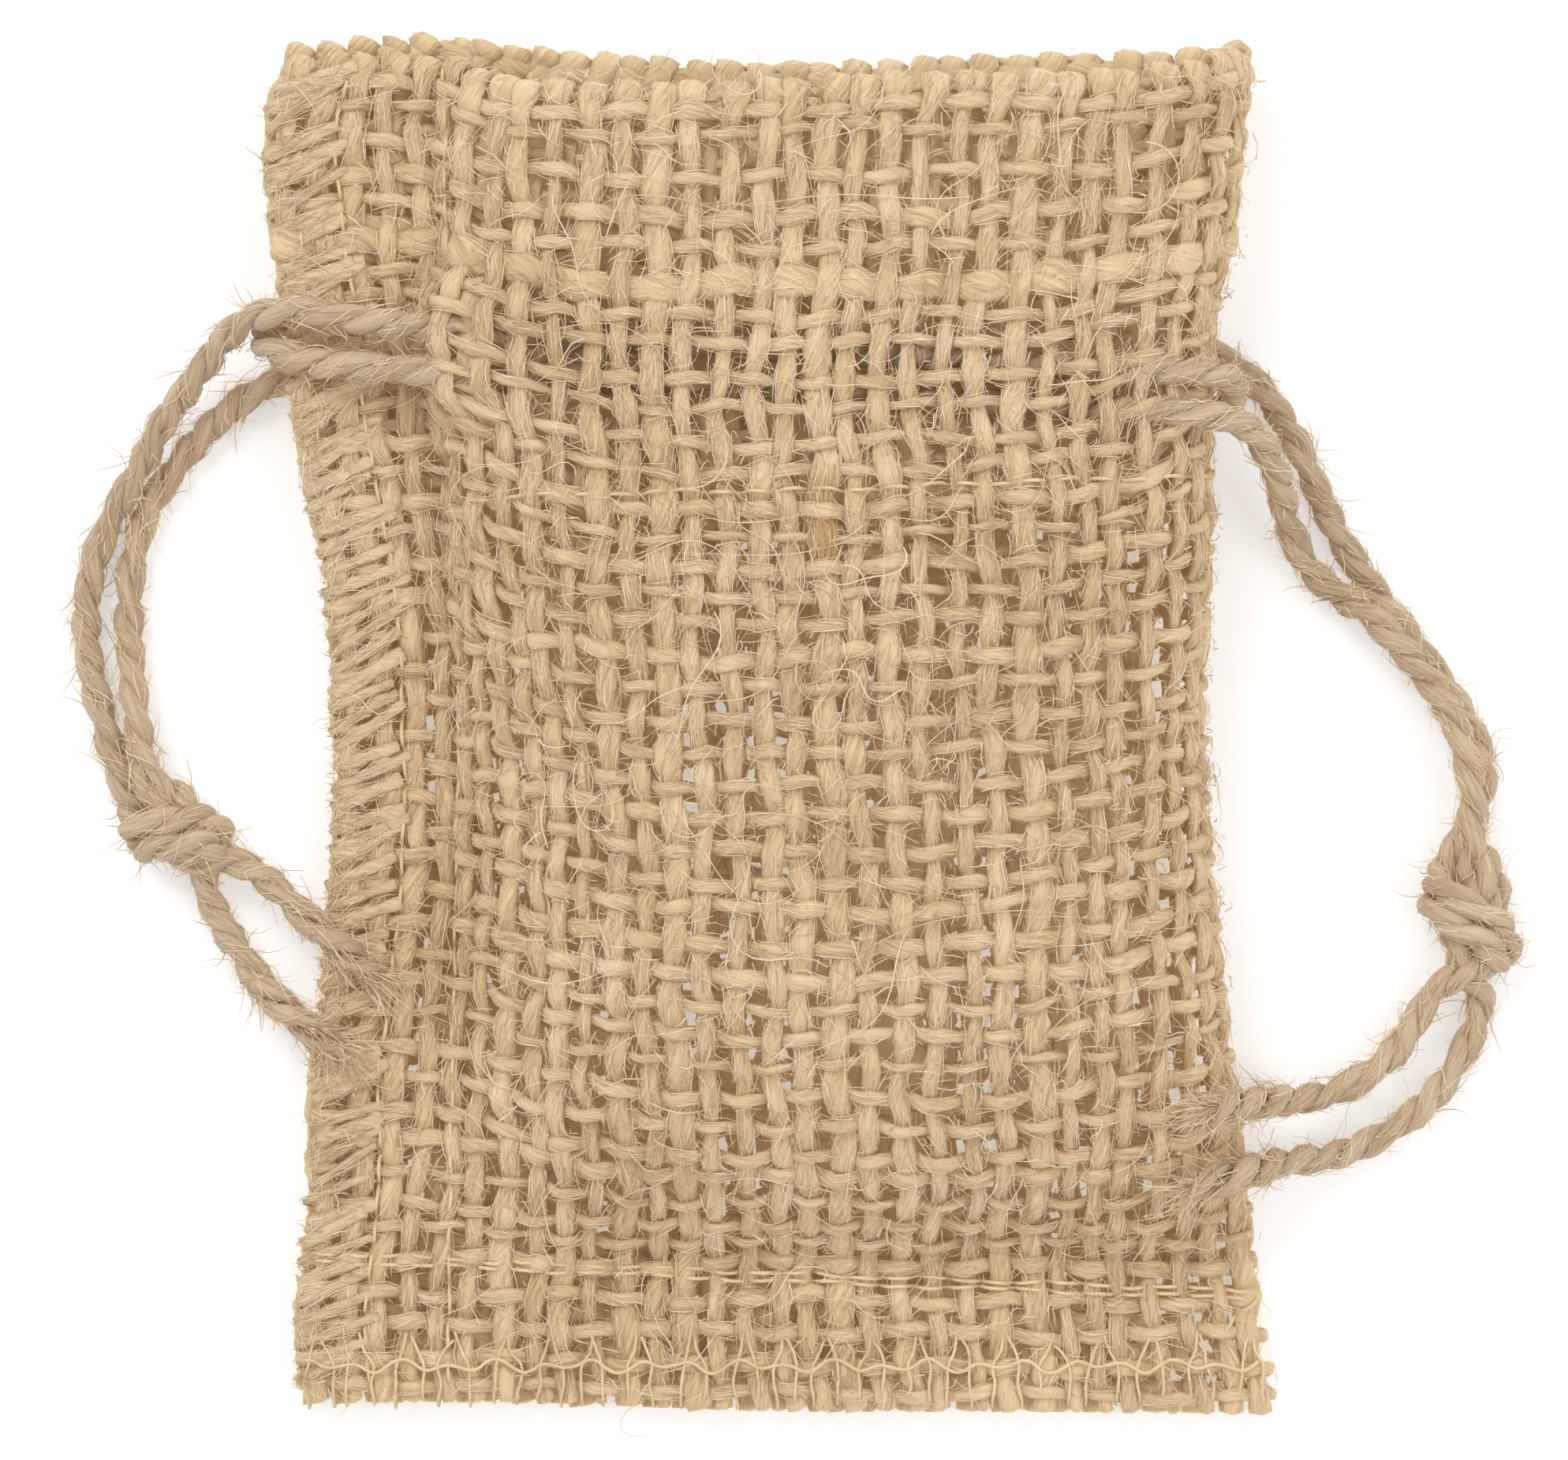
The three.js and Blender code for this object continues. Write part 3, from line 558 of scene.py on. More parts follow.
# %% Where the yarns lie
LONG_YARNS = 31  # in each panel
CROSS_YARNS = 43
PITCH = cloth_length / CROSS_YARNS
LONG_WAVE, CROSS_WAVE = 0.27 * MM, 0.50 * MM
LONG_WIDE, LONG_HIGH = 0.68 * MM, 0.42 * MM
CROSS_WIDE, CROSS_HIGH = 0.46 * MM, 0.34 * MM
DENSER_BEHIND, DENSER_ACROSS = 1.42, 1.75  # the back panel's yarns, against the front's
STEPS_PER_YARN = 6
TUCK = 0.00078  # radius of the fold at the mouth
LOOP_WIDE = 0.00116  # half the width of a long yarn where it turns over the mouth

total_long = 2 * LONG_YARNS
along_read = np.linspace(0, 1, 400)
across_read = np.linspace(0, 1, 800)
long_place = ((np.arange(total_long) + 0.5)[:, None] / total_long
              + 0.16 / total_long * wander(total_long, along_read * cloth_length, 0.016, 1)
              + 0.10 / total_long * rng.normal(size=(total_long, 1)))
cross_place = ((np.arange(CROSS_YARNS) + 0.5)[:, None] / CROSS_YARNS
               + 0.17 / CROSS_YARNS * wander(CROSS_YARNS, across_read * 2 * front_width, 0.019, 2)
               + 0.10 / CROSS_YARNS * rng.normal(size=(CROSS_YARNS, 1)))
# behind, the yarns lie half a step aside, so the two panels close each other's holes
back_share = (np.arange(LONG_YARNS) + 0.5)[:, None] / LONG_YARNS
long_place[LONG_YARNS:] += 0.5 / total_long * np.sin(np.pi * back_share) ** 0.3
cross_place += 0.5 / CROSS_YARNS * np.clip((across_read - 0.5) / 0.12, 0, 1) * (across_read < 0.985)
wave_seed = np.random.default_rng(3)
ripples = [[wave_seed.uniform(*limits) for limits in ((-1, 1), (-1, 1), (0, 6.28), (0.5, 1.6))]
           for _ in range(14)]


def ripple(x, y, wave, shift):
    """Slow random waves over the cloth, from -1 to 1."""
    total = 0
    for k, (kx, ky, phase, rate) in enumerate(ripples):
        total = total + np.sin(2 * np.pi * (kx * x + ky * y) * rate / wave + phase * (1 + shift) + k * shift)
    return total / len(ripples) * 1.6


def hang(x, y):
    """The rows sag between the two cord exits, and are drawn up beside each of them."""
    middle = np.clip(1 - ((x - 0.004) / 0.031) ** 2, 0, 1)
    sag = -0.0011 * middle * smoothstep(y, 0.004, 0.018) * (1 - smoothstep(y, 0.038, 0.046))
    beside_left = 0.0015 * np.exp(-(((x + 0.0255) / 0.0065) ** 2) - ((y - 0.021) / 0.009) ** 2)
    beside_right = 0.0010 * np.exp(-(((x - 0.0325) / 0.0055) ** 2) - ((y - 0.020) / 0.008) ** 2)
    return sag + beside_left + beside_right


CORD_BULGE = 0.0026  # the cloth stands up over the cords beside the left exit
BULGE_X, BULGE_Y, BULGE_WIDE, BULGE_LONG = -0.0228, 0.0285, 0.0040, 0.0058


def laid(across, along, lift):
    """Cloth coordinates to a place, with the slow drift and swell that all the yarns share."""
    p, out, up, over = read_cloth(across, along)
    fade = smoothstep(np.minimum(across, 1 - across), 0, 0.02)[..., None]
    drift = ripple(p[..., 0], p[..., 1], 0.030, 0.0)[..., None]
    sway = ripple(p[..., 0], p[..., 1], 0.024, 1.7)[..., None]
    swell = ripple(p[..., 0], p[..., 1], 0.017, 3.1)[..., None]
    pulled = hang(p[..., 0], p[..., 1])[..., None]
    place = (p + fade * ((0.00042 * drift + pulled) * up + 0.00045 * sway * over)
             + out * np.asarray(lift)[..., None])
    thin = smoothstep(p[..., 2], 0.002, 0.006)[..., None]
    bulge = CORD_BULGE * np.exp(-(((p[..., 0] - BULGE_X) / BULGE_WIDE) ** 2)
                                - ((p[..., 1] - BULGE_Y) / BULGE_LONG) ** 4)
    return place + out * fade * thin * (0.00030 * swell + bulge[..., None]), out, up, over


def yarn_thickness(count, at, spread, seed, heavy=()):
    """Thickness of each yarn along its length: its own size times its slubs."""
    r = np.random.default_rng(seed)
    own = np.clip(r.normal(1, spread, (count, 1)), 0.68, 1.4)
    for k, size in heavy:
        own[k] = size
    slub = 1 + 0.14 * wander(count, at, 0.021, seed + 1) + 0.09 * wander(count, at, 0.006, seed + 2)
    return own * slub, r.uniform(-1, 1, count)

HEAVY_LONG = ((6, 1.32), (12, 1.38), (17, 1.35), (23, 1.3), (40, 1.3), (52, 1.35))  # yarn, size
HEAVY_CROSS = ((37, 2.45), (36, 1.0), (38, 0.95), (25, 1.3), (16, 1.35), (8, 1.3))
long_size, long_tint = yarn_thickness(total_long, along_read * cloth_length, 0.15, 11, HEAVY_LONG)
cross_size, cross_tint = yarn_thickness(CROSS_YARNS, across_read * 2 * front_width, 0.20, 12, HEAVY_CROSS)
print("pitch", round(PITCH / MM, 2), "mm,", total_long, "long yarns and", CROSS_YARNS, "cross yarns")

# %% [markdown]
# Each long yarn runs from the cut edge at the bottom up the pouch, over the mouth and down
# inside to the casing's stitches, which is how a turned-in hem is made. The hem hangs closer to
# the outer cloth where it is sewn and further in where the cord runs between the two.

# %% Long yarns
HEM_DEPTH = 0.0318
LOOP_STEPS = 7  # over the mouth
ROUGH = 0.06  # unevenness of a yarn's skin


def hem_gap(across, y):
    """How far the turned-in cloth lies behind the outer cloth."""
    front = np.minimum(across, 1 - across) * 2  # 0 at the cut edges, 1 at the fold
    in_seam = 1 - smoothstep(front, 0.24, 0.30)
    cord = np.exp(-(((y - CASING_MIDDLE) / (CASING_HALF * 0.8)) ** 4))
    return 2 * TUCK + (1 - in_seam) * 0.0024 * cord - in_seam * 0.00045


def weave_order(at, crossings, count):
    """How many crossing yarns have been passed at each place, with halves between two of them."""
    return np.interp(at, np.concatenate([[0], crossings, [1]]),
                     np.concatenate([[-0.5], np.arange(count), [count - 0.5]]))


def long_yarn(i):
    at = np.linspace(0, 1, CROSS_YARNS * STEPS_PER_YARN)
    across = np.interp(at, along_read, long_place[i])
    rows = np.array([np.interp((i + 0.5) / total_long, across_read, row) for row in cross_place])
    order = weave_order(at, rows, CROSS_YARNS)
    wave = np.cos(np.pi * (i + order))
    flat_end = smoothstep(at, 0.0, 0.02) * (1 - 0.6 * smoothstep(at, 0.985, 1))
    lift = LONG_WAVE * wave * flat_end
    size = np.interp(at, along_read, long_size[i])
    p, out, up = laid(across, at, lift)[:3]
    wide = LONG_WIDE * size * (1 + 0.10 * wave) * (DENSER_BEHIND if i >= LONG_YARNS else 1)
    wide = wide + (LOOP_WIDE - wide) * smoothstep(at, 0.985, 1)
    high = LONG_HIGH * (0.75 + 0.25 * size) * (1 + 0.06 * wave)
    # over the mouth
    turn = np.linspace(0, np.pi, LOOP_STEPS + 2)[1:-1, None]
    top, top_out, top_up = p[-1], out[-1], up[-1]
    swell = TUCK * (1 + 0.13 * math.cos(math.pi * (i + CROSS_YARNS)) * np.sin(turn))
    loop_out = np.cos(turn) * top_out + np.sin(turn) * top_up
    loop = top - TUCK * top_out + swell * loop_out
    # and down inside
    steps = int(HEM_DEPTH / PITCH * STEPS_PER_YARN)
    down = 1 - np.linspace(0, HEM_DEPTH / cloth_length, steps)
    shift = ((0.45 + 0.25 * np.sin(i * 2.1)) / total_long * smoothstep(1 - down, 0, 0.03)
             * smoothstep(1 - across[-1], 0.01, 0.05))
    inner_order = np.interp(down - 0.5 / CROSS_YARNS, at, order)
    inner_lift = -LONG_WAVE * np.cos(np.pi * (i + inner_order)) * smoothstep(1 - down, 0.0, 0.02)
    q, q_out = laid(across[-1] + shift, down, inner_lift)[:2]
    q = q - q_out * hem_gap(across[-1], q[:, 1])[:, None]
    line = np.vstack([p, loop, q])
    widths = np.concatenate([wide, np.full(LOOP_STEPS, wide[-1]), wide[::-1][:steps]])
    heights = np.concatenate([high, np.full(LOOP_STEPS + steps, high[-1])])
    return lying_strand(line, np.vstack([out, unit(loop_out), -q_out]), widths, heights,
                        tint=long_tint[i], start=0.37 * i)


long_made = [long_yarn(i) for i in range(total_long)]
mesh_of_strands("front_long_yarns", long_made[:LONG_YARNS], 8, ROUGH)
mesh_of_strands("back_long_yarns", long_made[LONG_YARNS:], 7, ROUGH)

# %% [markdown]
# Each cross yarn starts at the cut edge in the side seam, crosses the front, turns round the
# fold and comes back behind. It dives under the long yarns that the last row went over. Between
# two long yarns only a short piece of it shows, and twist and tension set these pieces a little
# askew, so each yarn also sways in step with the weave.

# %% Cross yarns
def cross_yarn(j, inner=False):
    at = np.linspace(0, 1, total_long * STEPS_PER_YARN)
    along = np.interp(at, across_read, cross_place[j])
    columns = np.array([np.interp((j + 0.5) / CROSS_YARNS, along_read, line) for line in long_place])
    order = weave_order(at, columns, total_long)
    wave = np.cos(np.pi * (order + j))
    sway = np.sin(np.pi * (order + j))
    size = np.interp(at, across_read, cross_size[j])
    askew = 0.055 * wander(1, at * 2 * front_width, 0.02, 900 + j)[0] / CROSS_YARNS
    along = along + askew + 0.05 * sway * wave / CROSS_YARNS
    if inner:
        p, out = laid(at, along + 0.5 / CROSS_YARNS, CROSS_WAVE * 0.8 * wave)[:2]
        p = p - out * hem_gap(at, p[:, 1])[:, None]
        out = -out
    else:
        p, out = laid(at, along, -CROSS_WAVE * wave)[:2]
    wide = CROSS_WIDE * size * (1 - 0.12 * wave)
    wide = wide * (1 + (DENSER_ACROSS - 1) * smoothstep(at, 0.49, 0.56) * (1 - smoothstep(at, 0.93, 1)))
    return lying_strand(p, out, wide, CROSS_HIGH * (0.7 + 0.3 * size), tint=cross_tint[j], start=0.53 * j)


def mouth_yarn():
    """The cross yarn that lies in the fold itself, right at the mouth."""
    at = np.linspace(0, 1, total_long * STEPS_PER_YARN)
    wave = np.cos(np.pi * (weave_order(at, long_place[:, -1], total_long) + CROSS_YARNS))
    p, out, up = laid(at, np.ones(len(at)), 0.0)[:3]
    p = p - TUCK * out - up * (0.0001 + 0.00015 * wave)[:, None]
    return lying_strand(p, up, CROSS_WIDE * 1.25, CROSS_HIGH * 1.1, tint=0.2)


stitch_row = int((1 - HEM_DEPTH / cloth_length) * CROSS_YARNS) - 1
middle_row = CROSS_YARNS // 2
cross_made = []
for name, rows, inner in (("lower_cross_yarns", range(middle_row), False),
                          ("upper_cross_yarns", range(middle_row, CROSS_YARNS), False),
                          ("hem_cross_yarns", range(stitch_row, CROSS_YARNS - 1), True)):
    made = [cross_yarn(j, inner) for j in rows] + ([mouth_yarn()] if inner else [])
    mesh_of_strands(name, made, 8, ROUGH)
    if not inner:
        cross_made += made

# %% [markdown]
# ## Sewing thread
# Thread is drawn last on the cloth, because it lies on the yarns. A place on the panel is found
# from x and y, then lifted off along the cloth's outward direction. The casing and the seams are
# sewn with a thin pale thread that shows as a row of small humps.

# %% Places on the panels, and a thread
def on_panel(x, y, lift, behind=False, flat=False):
    """Points that lie `lift` metres off the middle of the cloth, on the front or behind."""
    x, y = np.broadcast_arrays(np.asarray(x, float), np.asarray(y, float))
    height = back_z if behind else front_z
    e = 0.0004
    z = height(x, y)
    slope_x = (height(x + e, y) - height(x - e, y)) / (2 * e)
    slope_y = (height(x, y + e) - height(x, y - e)) / (2 * e)
    if flat:
        slope_x, slope_y = 0 * z, 0 * z
    n = unit(np.stack([-slope_x, -slope_y, np.ones_like(z)], -1)) * (-1 if behind else 1)
    return np.stack([x, y, z], -1) + n * np.asarray(lift)[..., None] * np.ones_like(z)[..., None]


def plain_strand(points, radius, tint=0.0, step=0.0004, flat=1.0):
    """A thin round or flattened strand through chosen points."""
    line = even_line(points, step)
    side, normal = carried_frames(line)
    return strand(line, side, normal, radius, radius * flat, tint)


THREAD = 0.00014
STITCH = 0.0026
ON_TOP = 0.00085  # over the highest yarns

def stitched_line(xs, ys, behind=False, seed=0, radius=THREAD, flat=False):
    """A row of machine stitches through the panel along the given places."""
    far = np.concatenate([[0], np.cumsum(np.hypot(np.diff(xs), np.diff(ys)))])
    at = np.arange(0, far[-1], STITCH / 6)
    x, y = np.interp(at, far, xs), np.interp(at, far, ys)
    r = np.random.default_rng(seed)
    hump = 0.5 - 0.5 * np.cos(2 * np.pi * at / STITCH + 0.5 * wander(1, at, 0.03, seed)[0])
    lift = ON_TOP - 0.0013 * (1 - hump) ** 3 + 0.00010 * wander(1, at, 0.01, seed + 1)[0]
    y = y + 0.00018 * wander(1, at, 0.012, seed + 2)[0]
    x = x + 0.00012 * wander(1, at, 0.009, seed + 3)[0]
    p = on_panel(x, y, lift, behind, flat)
    return plain_strand(p, radius, tint=r.uniform(-1, 1))


ends = np.linspace(0, 1, 40)
seam_y = np.linspace(-0.0505, 0.0505, 120)
seam_x = mark(seam_y, SEAM_X) + 0.0002
hem_line = (np.interp(ends, [0, 1], [-0.0235, 0.0322]),
            np.interp(ends, [0, 0.5, 1], [0.0176, 0.0180, 0.0192]))
bottom_line = (np.interp(ends, [0, 1], [-0.0362, 0.0372]),
               np.interp(ends, [0, 0.5, 1], [-0.0402, -0.0418, -0.0432]))
mesh_of_strands("hem_stitches", [
    stitched_line(*hem_line, seed=61), stitched_line(hem_line[0], np.full(40, 0.0185), behind=True, seed=64)], 6)
mesh_of_strands("side_seam_stitches", [
    stitched_line(seam_x, seam_y, seed=67, flat=True),
    stitched_line(seam_x, seam_y, behind=True, seed=73, flat=True)], 6)
corner = (np.array([0.0372, 0.0366, 0.0352, 0.0344, 0.0352, 0.0362]),
          np.array([-0.0432, -0.0442, -0.0452, -0.0466, -0.0482, -0.0500]))
mesh_of_strands("bottom_seam_stitches", [
    stitched_line(*bottom_line, seed=76), stitched_line(bottom_line[0], bottom_line[1] - 0.0006, seed=79),
    stitched_line(*corner, seed=82), stitched_line(*bottom_line, behind=True, seed=85)], 6)

# %% [markdown]
# ## Overlocked edges
# The cut edges are bound by an overlock machine. Along the side its woolly thread lies in flat
# slanting bands from a needle line to the cut edge and round it. Along the bottom a thinner
# thread makes an open net: pairs of legs that meet in a point, joined by one wavy thread.

# %% Overlock stitches
BAND_PITCH = 0.00152
BAND_REACH = 0.0050


def side_band(k, r):
    """One slanting band, from the needle line over the cut edge and back behind."""
    y = -0.0500 + k * BAND_PITCH + r.normal(0, 0.00016)
    slant = r.uniform(0.28, 0.70)
    reach = BAND_REACH + r.normal(0, 0.0006)
    cut = edge(y, CUT_EDGE) + r.uniform(0.0001, 0.0006)
    out = np.linspace(1, 0, 7)
    front = on_panel(cut + reach * out, y + reach * slant * out, 0.00072 - 0.0003 * (1 - out) ** 3, flat=True)
    behind = on_panel(cut + reach * out[::-1][1:], y - 0.0006 + 0.2 * reach * out[::-1][1:], 0.0005, True, True)
    turn = np.array([[cut - 0.0005, y - 0.0003, (front[-1][2] + behind[0][2]) / 2]])
    line = even_line(np.vstack([front, turn, behind]), 0.0005)
    line[:, 2] = np.maximum(line[:, 2], 0.0003)
    side, normal = carried_frames(line)
    width = r.uniform(0.00030, 0.00062) * (1 + 0.2 * wander(1, run_length(line), 0.003, 500 + k)[0])
    return strand(line, side, normal, width, 0.00017, tint=0.6 * r.uniform(-1, 1), start=0.1 * k)


band_rng = np.random.default_rng(21)
band_count = int(0.1005 / BAND_PITCH)
bands = [side_band(k, band_rng) for k in range(band_count)]
needle_y = np.linspace(-0.0505, 0.0495, 120)
needle = stitched_line(edge(needle_y, CUT_EDGE) + BAND_REACH + 0.0003, needle_y, seed=90, flat=True)
mesh_of_strands("side_overlock", bands, 8, 0.05)
mesh_of_strands("side_overlock_needle_line", [needle], 6)


def net_leg(x, lean, r):
    """From the point of a pair of legs, down over the bottom edge and back up behind."""
    low = -0.0516 + r.normal(0, 0.0002)
    xs = x + lean * np.array([0.0, 0.5, 1.0, 1.05, 1.0]) + r.normal(0, 0.00012, 5)
    ys = np.array([-0.0468 + r.normal(0, 0.0003), -0.0478, -0.0489, -0.0503, low + 0.0003])
    front = on_panel(xs, ys, [0.0006, 0.00085, 0.00095, 0.0008, 0.0006])
    behind = on_panel(xs[::-1][:2], ys[::-1][:2], 0.0006, behind=True)
    turn = np.array([[xs[-1], low - 0.0005, 0.0018]])
    p = np.vstack([front, turn, behind])
    p[:, 2] = np.maximum(p[:, 2], 0.0003)
    return plain_strand(p, 0.00012, tint=r.uniform(-1, 1), step=0.0005)


net_rng = np.random.default_rng(22)
net, x = [], -0.0352
while x < 0.0365:
    lean = net_rng.uniform(0.0007, 0.0011)
    net += [net_leg(x - 0.0001, -lean, net_rng), net_leg(x + 0.0001, lean, net_rng)]
    x += net_rng.uniform(0.0030, 0.0041)
wave_x = np.arange(-0.0362, 0.0372, 0.0006)
wave_y = -0.0489 + 0.00030 * np.sin(wave_x * 2 * np.pi / 0.0037) + 0.0004 * wander(1, wave_x, 0.008, 95)[0]
wave_points = on_panel(wave_x, wave_y, 0.00105 + 0.0001 * wander(1, wave_x, 0.004, 96)[0])
net.append(plain_strand(wave_points, 0.00014))
mesh_of_strands("bottom_overlock", net, 6)

# %% [markdown]
# ## Stray fibres
# Jute sheds. Short fibres stand off every yarn and a few long ones curl across the pouch, and
# without them the cloth looks moulded. Hair particles can't be kept as plain meshes easily, so
# each fibre is a very thin three-sided strand. These lie anywhere on a panel, and their heading
# drifts as they go.

# %% Fibres on a panel
FIBRE = 0.000042  # radius
LOWEST = 0.00015  # height of a fibre that lies on the table


def fibre(line, thin, r):
    """One round fibre; a little spin of its frame doesn't show on so thin a strand."""
    t = tangents(line)
    helper = np.array([0.0, 0.0, 1.0]) if abs(t[:, 2]).max() < 0.9 else np.array([1.0, 0.0, 0.0])
    side = unit(np.cross(t, helper))
    return strand(line, side, np.cross(side, t), thin, thin, tint=r.uniform(-1, 1))


def surface_fibres(count, shortest, longest, radius, curl, steps, seed, behind=False, zone=None):
    """Fibres that lie on a panel and curve as they go."""
    r = np.random.default_rng(seed)
    y = r.uniform(-0.0515, 0.0500, count)
    if zone:
        y = np.clip(r.normal(zone[1], zone[3], count), -0.050, 0.049)
    cut, fold = edge(y, CUT_EDGE), edge(y, FOLD_EDGE)
    x = cut + (fold - cut) * r.uniform(0, 1, count)
    if zone:
        x = np.clip(r.normal(zone[0], zone[2], count), cut, fold)
    length = shortest + (longest - shortest) * r.uniform(0, 1, count) ** 2
    heading = np.pi / 2 * r.integers(0, 4, count) + r.normal(0, 0.42, count)
    bend = r.normal(0, curl, count)
    wobble, phase = r.normal(0, 0.3 * curl, count), r.uniform(0, 6.28, count)
    s = np.linspace(0, 1, steps)
    angle = heading[:, None] + bend[:, None] * s + wobble[:, None] * np.sin(2 * np.pi * s * 1.4 + phase[:, None])
    dx = np.cumsum(np.cos(angle), 1) * length[:, None] / steps
    dy = np.cumsum(np.sin(angle), 1) * length[:, None] / steps
    rise = r.uniform(0.0000, 0.0009, count) * np.minimum(1, length / 0.004)
    start = r.uniform(-0.0001, 0.0011, count)
    lift = start[:, None] + rise[:, None] * np.sin(np.pi * s * r.uniform(0.5, 1.3, count)[:, None])
    far_x, far_y = x + dx[:, -1], y + dy[:, -1]
    past = ((far_x < edge(far_y, CUT_EDGE) - 0.0004) | (far_x > edge(far_y, FOLD_EDGE) + 0.0002)
            | (abs(far_y) > 0.0518))
    shorter = np.where(past, 0.35, 1.0)[:, None]  # those that would stick out of the outline
    p = on_panel(x[:, None] + shorter * dx, y[:, None] + shorter * dy, lift, behind)
    p[..., 2] = np.maximum(p[..., 2], LOWEST)
    thin = radius * r.uniform(0.6, 1.4, count)
    return [fibre(p[k], thin[k] * (1 - 0.75 * s**2), r) for k in range(count)]


SHORT, LONG = (0.0008, 0.0030), (0.006, 0.018)
edge_fibres = surface_fibres(600, *SHORT, FIBRE, 0.7, 7, 32, zone=(-0.036, 0.0, 0.002, 0.035))
edge_fibres += surface_fibres(400, *SHORT, FIBRE, 0.7, 7, 33, zone=(0.0335, 0.0, 0.001, 0.035))
long_fibres = surface_fibres(130, *LONG, FIBRE * 1.2, 1.8, 18, 34)
long_fibres += surface_fibres(110, 0.008, 0.026, FIBRE * 1.2, 2.0, 18, 35, zone=(0.004, 0.006, 0.015, 0.022))
print("fibres at the edges:", len(edge_fibres), "and long ones:", len(long_fibres))

# %% [markdown]
# Most fibres start as part of a yarn. They lie along it, at a place round it, and lift off at
# one end, so they are laid by the strand's own line, widths and directions.

# %% Fibres along the yarns
def yarn_fibres(strands, count, reach, seed, skip=0.0, all_round=False):
    """Fibres that lie along the yarns, from `skip` to `reach` metres, and lift off at one end."""
    r = np.random.default_rng(seed)
    made = []
    far_of = [run_length(s["line"]) for s in strands]
    for k in r.integers(0, len(strands), count):
        s, far = strands[k], far_of[k]
        length = 0.0010 + 0.0034 * r.uniform() ** 1.6
        begin = r.uniform(skip, min(reach, far[-1] - length))
        t = np.linspace(0, 1, 5)
        at = begin + length * (t if r.uniform() < 0.5 else 1 - t)
        i = np.minimum(np.searchsorted(far, at), len(far) - 1)
        angle = np.pi * r.uniform(0.08, 0.92) * (2 if all_round else 1) + r.normal(0, 0.55) * t
        flare = r.uniform(0.0, 0.00075) * t**2
        p = (s["line"][i] + (np.cos(angle) * (s["wide"][i] * 1.03 + flare))[:, None] * s["side"][i]
             + (np.sin(angle) * (s["high"][i] * 1.06 + flare))[:, None] * s["normal"][i])
        p[:, 2] = np.maximum(p[:, 2], LOWEST)
        made.append(fibre(p, FIBRE * r.uniform(0.7, 1.4) * (1 - 0.6 * t**2), r))
    return made


def part_of(s, rows):
    """The part of a strand between some of its points."""
    return {key: value[rows] if np.ndim(value) else value for key, value in s.items()}


LIP_POINTS = 190  # of a long yarn, from its end in the hem back over the mouth
RUSTY_POINTS = slice(165, 191)  # the stretch of one yarn that has rust-coloured fibres
RUSTY_POINT, RUSTY_X = 170, 0.0040  # and where that yarn is found
front_yarns = long_made[:LONG_YARNS]
over_mouth = [part_of(s, slice(-LIP_POINTS, None)) for s in long_made]
rusty = min(front_yarns, key=lambda s: abs(s["line"][RUSTY_POINT, 0] - RUSTY_X))
for name, made in (
    ("short_cloth_fibres", surface_fibres(5800, 0.0006, 0.0032, FIBRE, 0.5, 5, 31)),
    ("middling_cloth_fibres", surface_fibres(1900, 0.002, 0.0075, FIBRE, 0.9, 7, 38)),
    ("long_yarn_fibres_1", yarn_fibres(front_yarns, 5200, cloth_length + 0.004, 43)),
    ("long_yarn_fibres_2", yarn_fibres(front_yarns, 5200, cloth_length + 0.004, 44)),
    ("cross_yarn_fibres", yarn_fibres(cross_made, 5600, front_width, 45)),
    ("lip_fibres", yarn_fibres(over_mouth, 1500, 0.034, 46)),
    ("overlock_fibres", yarn_fibres(bands, 1500, 0.006, 47)),
    ("rusty_fibres", yarn_fibres([part_of(rusty, RUSTY_POINTS)], 130, 0.009, 48)),
    ("edge_fibres", edge_fibres),
    ("long_cloth_fibres", long_fibres),
    ("back_cloth_fibres", surface_fibres(1100, 0.0008, 0.0045, FIBRE, 0.7, 6, 36, behind=True)),
):
    mesh_of_strands(name, made, 3)

# %% [markdown]
# The twine is hairier than the cloth. Its fibres leave at a flat angle, and the cut ends of the
# tails open into brushes.

# %% Fibres on the twine
def twine_fibres(line, start, count, seed, tuft=170):
    """Fibres along a strand of twine from `start` metres on, and a brush at its cut end."""
    r = np.random.default_rng(seed)
    far = run_length(line)
    side, normal = carried_frames(line)
    t = tangents(line)
    made = []
    for k in range(count + tuft):
        brush = k >= count
        s = far[-1] - 0.010 * r.uniform() ** 1.5 if brush else r.uniform(start, far[-1])
        i = min(int(np.searchsorted(far, s)), len(far) - 1)
        a = r.uniform(0, 2 * np.pi)
        out = np.cos(a) * side[i] + np.sin(a) * normal[i]
        forward = t[i] * (1 if brush or r.uniform() < 0.5 else -1)
        length = r.uniform(0.002, 0.0055) if brush else 0.0009 + 0.0034 * r.uniform() ** 2.5
        heading = forward + out * (r.uniform(0.0, 0.75) if brush else r.uniform(0.15, 0.9))
        steps = 6
        bend = r.normal(0, 0.16, 3)
        p = [line[i] + out * (r.uniform(0.0, 0.0012) if brush else 0.0009)]
        for _ in range(steps - 1):
            heading = heading / np.linalg.norm(heading)
            p.append(p[-1] + heading * length / steps)
            heading = heading + bend + r.normal(0, 0.07, 3)
        p = np.array(p)
        p[:, 2] = np.maximum(p[:, 2], 0.0002)
        made.append(fibre(p, FIBRE * r.uniform(0.7, 1.4) * (1 - 0.6 * np.linspace(0, 1, steps) ** 2), r))
    return made


INSIDE = 0.023  # how much of each strand's start is inside the casing
LOOP_INSIDE = 0.020  # and of each round twine, at either end

